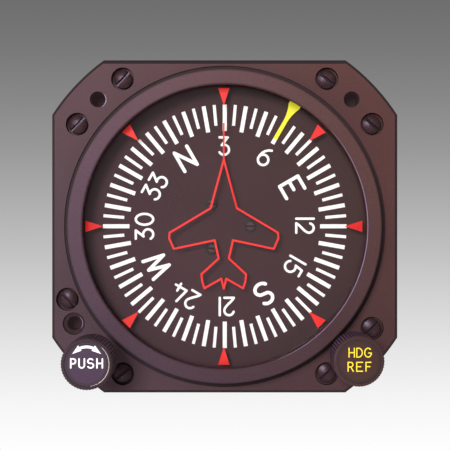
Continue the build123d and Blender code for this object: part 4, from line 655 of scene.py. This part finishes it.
def press_springs(frame):
    """Give each return spring a mesh of its own."""
    for node, joint, travel in RETURN_SPRINGS:
        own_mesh(frame["nodes"][node])


# Strokes, as lists of points in a glyph whose lines run from height 0 to height 1

def arc(cx, cy, radius, start, end, radius_y=None):
    """Points of an arc between two angles, in degrees."""
    radius_y = radius_y or radius
    count = max(2, round(abs(end - start) / ROUND_STEP))
    angles = [radians(start + (end - start) * k / count) for k in range(count + 1)]
    return [(cx + radius * cos(a), cy + radius_y * sin(a)) for a in angles]


def curve(first, pull, push, last):
    """Points of a cubic curve after its first point."""
    points = []
    for k in range(1, CURVE_STEPS + 1):
        t = k / CURVE_STEPS
        weights = ((1 - t) ** 3, 3 * t * (1 - t) ** 2, 3 * t * t * (1 - t), t ** 3)
        ends = (first, pull, push, last)
        points.append(tuple(sum(w * p[i] for w, p in zip(weights, ends)) for i in (0, 1)))
    return points


def figure_two():
    """Round top, a bent back and a flat foot."""
    top = arc(0.0, 0.73, 0.27, 165, -30)
    return top + curve(top[-1], (0.1, 0.36), (-0.18, 0.2), (-0.27, 0.0)) + [(0.27, 0.0)]


def letter_s():
    """Two bowls that run into each other."""
    upper = arc(0.0, 0.745, 0.30, 40, 235, 0.255)
    lower = arc(0.0, 0.265, 0.33, 60, -150, 0.265)
    return upper + lower


GLYPHS = {
    "0": [arc(0.0, 0.5, 0.31, 0, 360, 0.5)],
    "1": [[(0.0, 0.0), (0.0, 1.0)]],
    "2": [figure_two()],
    "3": [[(-0.25, 1.0), (0.22, 1.0), (-0.12, 0.553)], arc(0.0, 0.29, 0.29, 115, -150)],
    "4": [[(-0.16, 1.0), (-0.37, 0.19), (0.34, 0.19)], [(0.1, 0.0), (0.1, 0.45)]],
    "5": [[(0.24, 1.0), (-0.13, 1.0), (-0.2, 0.554)], arc(-0.01, 0.31, 0.31, 128, -150)],
    "6": [arc(0.0, 0.3, 0.3, 0, 360),
          [(-0.3, 0.3)] + curve((-0.3, 0.3), (-0.3, 0.62), (-0.14, 0.9), (0.17, 1.0))],
    "N": [[(-0.34, 0.0), (-0.34, 1.0), (0.34, 0.0), (0.34, 1.0)]],
    "E": [[(0.33, 1.0), (-0.33, 1.0), (-0.33, 0.0), (0.33, 0.0)], [(-0.33, 0.51), (0.13, 0.51)]],
    "S": [letter_s()],
    "W": [[(-0.49, 1.0), (-0.27, 0.0), (0.0, 0.97), (0.27, 0.0), (0.49, 1.0)]],
    "P": [[(-0.27, 0.0), (-0.27, 1.0), (0.0, 1.0)] + arc(0.0, 0.73, 0.27, 90, -90) + [(-0.27, 0.46)]],
    "U": [[(-0.3, 1.0), (-0.3, 0.3)] + arc(0.0, 0.3, 0.3, 180, 360) + [(0.3, 1.0)]],
    "H": [[(-0.3, 0.0), (-0.3, 1.0)], [(0.3, 0.0), (0.3, 1.0)], [(-0.3, 0.5), (0.3, 0.5)]],
    "D": [[(-0.3, 0.0), (-0.3, 1.0), (-0.1, 1.0)] + arc(-0.1, 0.5, 0.42, 90, -90, 0.5)
          + [(-0.3, 0.0)]],
    "G": [arc(0.0, 0.5, 0.38, 48, 340, 0.5) + [(0.37, 0.46), (0.06, 0.46)]],
    "R": [[(-0.28, 0.0), (-0.28, 1.0), (0.0, 1.0)] + arc(0.0, 0.74, 0.26, 90, -90) + [(-0.28, 0.48)],
          [(0.02, 0.48), (0.3, 0.0)]],
    "F": [[(0.28, 1.0), (-0.26, 1.0), (-0.26, 0.0)], [(-0.26, 0.52), (0.18, 0.52)]],
}


def glyph_reach(letter):
    """Left and right end of a glyph's lines."""
    across = [x for stroke in GLYPHS[letter] for x, _ in stroke]
    return min(across), max(across)


def word_strokes(word, height, stroke, gap):
    """Strokes of a word centred about x = 0, with its lines between heights 0 and 1 of its own."""
    size = height - stroke
    placed, x = [], 0.0
    for letter in word:
        left, right = glyph_reach(letter)
        placed.append((letter, x - left * size))
        x += (right - left) * size + stroke + gap
    middle = (x - stroke - gap) / 2
    return [[(px * size + offset - middle, py * size) for px, py in points]
            for letter, offset in placed for points in GLYPHS[letter]]


# Strokes made into flat polygons, in millimetres

def apart(first, second):
    """Distance between two points."""
    return hypot(first[0] - second[0], first[1] - second[1])


def turn_between(before, here, after):
    """Change of direction at a point, in degrees."""
    first = Vector((here[0] - before[0], here[1] - before[1]))
    second = Vector((after[0] - here[0], after[1] - here[1]))
    return degrees(abs(first.angle_signed(second)))


def smooth_runs(points):
    """The stroke cut at its sharp turns."""
    runs, run = [], [points[0]]
    for before, here, after in zip(points, points[1:], points[2:]):
        run.append(here)
        if turn_between(before, here, after) > SHARP_TURN:
            runs.append(run)
            run = [here]
    runs.append(run + [points[-1]])
    return runs


def side_points(points, half):
    """Points on both sides of a smooth run, and whether it closes on itself."""
    left, right = [], []
    closed = apart(points[0], points[-1]) < SAME_PLACE
    for k, (x, z) in enumerate(points):
        before = points[k - 1] if k > 0 else (points[-2] if closed else points[0])
        after = points[k + 1] if k < len(points) - 1 else (points[1] if closed else points[-1])
        direction = Vector((after[0] - before[0], after[1] - before[1])).normalized()
        left.append((x - direction.y * half, z + direction.x * half))
        right.append((x + direction.y * half, z - direction.x * half))
    return left, right, closed


def without_repeats(points):
    """The points without one that lies on the one before it."""
    kept = [points[0]]
    for point in points[1:]:
        if apart(point, kept[-1]) > SAME_PLACE:
            kept.append(point)
    return kept


def round_end(end, inner, half):
    """Half a disc at the end of a stroke."""
    away = Vector((end[0] - inner[0], end[1] - inner[1])).normalized()
    outwards = -degrees(Vector((1.0, 0.0)).angle_signed(away))
    return arc(*end, half, outwards - QUARTER_TURN, outwards + QUARTER_TURN)


def stroke_polygons(points, width, round_ends=True):
    """Flat polygons that fill a stroke of a width."""
    half = width / 2
    polygons = []
    for run in smooth_runs(without_repeats(points)):
        left, right, closed = side_points(run, half)
        polygons += [[left[k], right[k], right[k + 1], left[k + 1]] for k in range(len(run) - 1)]
        if round_ends and not closed:
            polygons.append(round_end(run[0], run[1], half))
            polygons.append(round_end(run[-1], run[-2], half))
    return polygons


def ring_polygons(centre, radius, width):
    """Flat polygons that fill a thin ring."""
    return stroke_polygons(arc(*centre, radius, 0.0, FULL_TURN), width, round_ends=False)


def moved(groups, centre):
    """The polygons moved to a centre."""
    across, up = centre
    return [[[(x + across, z + up) for x, z in polygon] for polygon in group] for group in groups]


def film(name, groups, front, finish, body):
    """Thin raised marks; each group of polygons lies a hair over the one before."""
    mesh = bpy.data.meshes.new(name)
    bm = bmesh.new()
    for level, polygons in enumerate(groups):
        y = (front - FILM - level * FILM_STEP) * MM
        for polygon in polygons:
            face = bm.faces.new([bm.verts.new((x * MM, y, z * MM)) for x, z in polygon])
            face.normal_update()
            if face.normal.y > 0:
                face.normal_flip()
    bmesh.ops.remove_doubles(bm, verts=bm.verts, dist=MERGE * MM)
    bm.to_mesh(mesh)
    bm.free()
    piece = bpy.data.objects.new(name, mesh)
    bpy.context.scene.collection.objects.link(piece)
    solid = piece.modifiers.new("thickness", "SOLIDIFY")
    solid.thickness = FILM * MM
    solid.offset = -1.0
    dress(piece, finish)
    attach(piece, body)


# Markings of the card

def radial(radius, aside, angle):
    """Point at a clockwise angle from the top, moved aside to the right."""
    a = radians(angle)
    return radius * sin(a) + aside * cos(a), radius * cos(a) - aside * sin(a)


def card_film(name, groups, paint):
    """Marks on the face of the card, which turn with it."""
    film(name, groups, front_of("compass_card"), paint, "card")


def tick(angle, inner, outer, width):
    """Polygon of one tick."""
    half = width / 2
    corners = ((inner, -half), (inner, half), (outer, half), (outer, -half))
    return [radial(radius, aside, angle) for radius, aside in corners]


def card_scale(paint):
    """Ticks of the compass card, every second one longer and broader."""
    ticks = []
    for k in range(TICKS):
        major = k % 2 == 0
        inner = MAJOR_INNER_R if major else MINOR_INNER_R
        width = MAJOR_WIDTH if major else MINOR_WIDTH
        ticks.append(tick(FULL_TURN * k / TICKS, inner, TICK_OUTER_R, width))
    card_film("card_ticks", [ticks], paint)


def card_figures(paint):
    """Figures and letters of the compass card, with their tops outwards."""
    groups = []
    for k, word in enumerate(FIGURES):
        angle = FULL_TURN * k / len(FIGURES)
        lettered = word.isalpha()
        height = LETTER_HEIGHT if lettered else FIGURE_HEIGHT
        stroke = LETTER_STROKE if lettered else FIGURE_STROKE
        base = FIGURE_TOP_R - height + stroke / 2
        for points in word_strokes(word, height, stroke, FIGURE_GAP):
            placed = [radial(base + z, x + FIGURE_ASIDE.get(word, 0.0), angle) for x, z in points]
            groups += [[polygon] for polygon in stroke_polygons(placed, stroke)]
    card_film("card_figures", groups, paint)


def card_screw_rings(paint):
    """Dark ring of painted shade round each screw of the card."""
    groups = []
    for k in range(CARD_SCREWS):
        centre = radial(CARD_SCREW_CIRCLE_R, 0.0, QUARTER_TURN + FULL_TURN * k / CARD_SCREWS)
        groups.append(ring_polygons(centre, CARD_SCREW_SHADE_R, CARD_SCREW_SHADE_WIDTH))
    card_film("card_screw_rings", groups, paint)


# Marks on the glass

def glass_film(name, groups, middle, paint):
    """Marks on the back of the glass, moved by the printing's fault."""
    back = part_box("cover_glass")[1].y / MM + FILM
    film(name, moved(groups, middle), back, paint, "instrument")


def glass_marks(paint):
    """Eight triangles that point at the scale."""
    half = MARK_WIDTH / 2
    corners = ((MARK_OUTER_R, -half), (MARK_OUTER_R, half), (MARK_INNER_R, 0.0))
    marks = []
    for k in range(MARKS):
        marks.append([radial(radius, aside, FULL_TURN * k / MARKS) for radius, aside in corners])
    glass_film("glass_marks", [marks], MARKS_MIDDLE, paint)


def glass_plane(paint):
    """Outline of an aeroplane seen from above, with a line ahead of its nose."""
    right = [PLANE_NOSE, *PLANE_HALF, PLANE_TAIL]
    left = [(-x, z) for x, z in right]
    groups = []
    for side in (right, left):
        groups += [[polygon] for polygon in stroke_polygons(side, PLANE_LINE)]
    groups.append(stroke_polygons([(0.0, CENTRE_LINE_TOP), PLANE_NOSE], CENTRE_LINE, round_ends=False))
    glass_film("glass_plane", groups, PLANE_MIDDLE, paint)


# Marks on the knobs

def knob_film(name, groups, knob, paint):
    """Marks on the face of a knob, which turn with it."""
    face = knob + "_face"
    film(name, moved(groups, middle_of(face)), front_of(face), paint, knob + "_and_shaft")


def knob_word(word, height, stroke, gap, middle, aside=0.0):
    """Strokes of a word whose middle is at a height over the knob's axis."""
    foot = middle - (height - stroke) / 2
    groups = []
    for points in word_strokes(word, height, stroke, gap):
        placed = [(x + aside, z + foot) for x, z in points]
        groups += [[polygon] for polygon in stroke_polygons(placed, stroke)]
    return groups


def turn_arrow():
    """Bent arrow with a head at each end."""
    bend = arc(0.0, 0.0, ARROW_R, QUARTER_TURN - ARROW_SPREAD, QUARTER_TURN + ARROW_SPREAD)
    groups = [stroke_polygons(bend, ARROW_WIDTH, round_ends=False)]
    for side in (-1, 1):
        groups.append([[(side * x, z) for x, z in ARROW_HEAD]])
    return groups


def push_lettering(paint):
    """Word and arrow on the set knob."""
    knob_film("set_knob_lettering", turn_arrow() + knob_word("PUSH", **PUSH_WORD), "set_knob", paint)


def heading_lettering(paint):
    """Two words on the heading knob."""
    groups = []
    for word, look in HEADING_WORDS.items():
        groups += knob_word(word, **look)
    knob_film("heading_knob_lettering", groups, "heading_knob", paint)


def face_ring_shades(knob, paint):
    """Painted shade lines for the fine turned rings on a knob's face."""
    groups = [ring_polygons((0.0, 0.0), radius, FACE_RING_WIDTH) for radius in FACE_RINGS]
    knob_film(knob + "_rings", groups, knob, paint)


# Painted edge highlights

def highlight_arc(edge):
    """Painted highlight along an edge, a bright line pointed at its ends."""
    radius, width, first, last = edge
    steps = round(abs(first - last) / HIGHLIGHT_STEP)
    inner, outer = [], []
    for k in range(steps + 1):
        angle = radians(first + (last - first) * k / steps)
        half = width / 2 * max(HIGHLIGHT_TIP, sqrt(abs(sin(pi * k / steps))))
        for rim, reach in ((inner, radius - half), (outer, radius + half)):
            rim.append((reach * cos(angle), reach * sin(angle)))
    return [[[inner[k], outer[k], outer[k + 1], inner[k + 1]] for k in range(steps)]]


def edge_highlights(pale_highlight, violet):
    """Painted highlights on the edges of the set knob's face, the bezel ring and two mounting holes on
    the left.
    """
    upper = radial(BOLT_CIRCLE_R, 0.0, UPPER_HOLE_ANGLE)
    lower = radial(BOLT_CIRCLE_R, 0.0, LOWER_HOLE_ANGLE)
    knob_film("set_knob_edge_highlight", highlight_arc(KNOB_HIGHLIGHT), "set_knob", pale_highlight)
    film("ring_edge_highlight", highlight_arc(RING_HIGHLIGHT), front_of("bezel_ring"), violet, "instrument")
    film("upper_hole_edge_highlight", moved(highlight_arc(UPPER_HOLE_HIGHLIGHT), upper), 0.0, violet, "instrument")
    film("lower_hole_edge_highlight", moved(highlight_arc(LOWER_HOLE_HIGHLIGHT), lower), front_of("mounting_inserts"),
         violet, "instrument")


def markings():
    """Every printed mark, painted shade line and painted highlight."""
    white = print_paint("white_ink", **WHITE_INK)
    red = print_paint("red_ink", **RED_INK)
    ring_groove_shade = print_paint("ring_groove_shade", **RING_GROOVE_SHADE)
    card_scale(white)
    card_figures(white)
    card_screw_rings(print_paint("screw_shade_ring", **SCREW_SHADE_RING))
    glass_marks(red)
    glass_plane(red)
    push_lettering(white)
    heading_lettering(print_paint("yellow_ink", **YELLOW_INK))
    edge_highlights(print_paint("painted_highlight_pale", **PALE_HIGHLIGHT_PAINT), print_paint("painted_highlight_violet", **VIOLET_HIGHLIGHT_PAINT))
    face_ring_shades("set_knob", ring_groove_shade)
    face_ring_shades("heading_knob", ring_groove_shade)


# Stage, light and camera

def floor(finish):
    """Plain pale floor, well below the instrument."""
    mesh = bpy.data.meshes.new("floor")
    bm = bmesh.new()
    bmesh.ops.create_circle(bm, cap_ends=True, segments=FLOOR_SIDES, radius=FLOOR_R * MM)
    bm.to_mesh(mesh)
    bm.free()
    made = bpy.data.objects.new("floor", mesh)
    made.location.z = -FLOOR_DROP * MM
    bpy.context.scene.collection.objects.link(made)
    made.data.materials.append(finish)


def backdrop_greys(tree):
    """Greys in level bands, by how steeply a view runs up or down."""
    direction = add_node(tree, "ShaderNodeTexCoord")
    parts = add_node(tree, "ShaderNodeSeparateXYZ")
    tree.links.new(direction.outputs["Generated"], parts.inputs[0])
    steepness = maths(tree, "DIVIDE", parts.outputs["Z"], parts.outputs["Y"])
    top = (DIAL_CENTRE[1] / PICTURE_SCALE - CAMERA_Z) / CAMERA_DISTANCE
    bottom = top - IMAGE_SIDE / PICTURE_SCALE / CAMERA_DISTANCE
    ramp = add_node(tree, "ShaderNodeValToRGB")
    tree.links.new(share(tree, steepness, (top, bottom)), ramp.inputs["Fac"])
    stops = ramp.color_ramp.elements
    last = len(BACKDROP_GREYS) - 1
    for index, grey in enumerate(BACKDROP_GREYS):
        stop = stops.new(index / last) if 0 < index < last else stops[-1 if index else 0]
        stop.color = srgb((grey, grey, grey))
    return ramp.outputs["Color"]


def studio_world():
    """Even grey light, and behind the object a grey that grows paler downwards."""
    world = bpy.data.worlds.new("studio")
    bpy.context.scene.world = world
    world.use_nodes = True
    tree = world.node_tree
    light = tree.nodes["Background"]
    light.inputs["Color"].default_value = FILL_COLOUR
    light.inputs["Strength"].default_value = FILL_STRENGTH
    backdrop = add_node(tree, "ShaderNodeBackground")
    tree.links.new(backdrop_greys(tree), backdrop.inputs["Color"])
    seen = add_node(tree, "ShaderNodeLightPath")
    mix = add_node(tree, "ShaderNodeMixShader")
    tree.links.new(seen.outputs["Is Camera Ray"], mix.inputs["Fac"])
    tree.links.new(light.outputs["Background"], mix.inputs[1])
    tree.links.new(backdrop.outputs["Background"], mix.inputs[2])
    tree.links.new(mix.outputs["Shader"], tree.nodes["World Output"].inputs["Surface"])


def area_light(name, place, size, power, colour):
    """Soft round lamp that looks at the dial."""
    lamp = bpy.data.lights.new(name, "AREA")
    lamp.shape = "DISK"
    lamp.size = size * MM
    lamp.energy = power
    lamp.color = colour
    made = bpy.data.objects.new(name, lamp)
    made.location = Vector(place) * MM
    made.rotation_euler = (-Vector(place)).to_track_quat("-Z", "Y").to_euler()
    bpy.context.scene.collection.objects.link(made)


def lights():
    """Key light from the upper left, and weak ones from the right and along the face from the left."""
    area_light("key", **KEY)
    area_light("warm", **WARM)
    area_light("side", **SIDE)


def camera():
    """Camera square on to the dial, shifted so that the dial stays in the middle."""
    data = bpy.data.cameras.new("camera")
    data.sensor_width = SENSOR
    field = IMAGE_SIDE / PICTURE_SCALE
    data.lens = SENSOR * CAMERA_DISTANCE / field
    centre = IMAGE_SIDE / 2
    data.shift_x = -(CAMERA_X * PICTURE_SCALE + DIAL_CENTRE[0] - centre) / IMAGE_SIDE
    data.shift_y = -(CAMERA_Z * PICTURE_SCALE - DIAL_CENTRE[1] + centre) / IMAGE_SIDE
    data.clip_start = CLIP_START * MM
    data.clip_end = CLIP_END * MM
    made = bpy.data.objects.new("camera", data)
    made.location = (CAMERA_X * MM, -CAMERA_DISTANCE * MM, CAMERA_Z * MM)
    made.rotation_euler = (pi / 2, 0.0, 0.0)
    bpy.context.scene.collection.objects.link(made)
    bpy.context.scene.camera = made


def main():
    """Load the frame, dress it, mark it and light it."""
    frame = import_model()
    bpy.context.scene.view_settings.view_transform = "Standard"
    camera()
    lights()
    studio_world()
    floor(print_paint("floor", **FLOOR_PAINT))
    dress_nodes(frame)
    press_springs(frame)
    markings()


main()
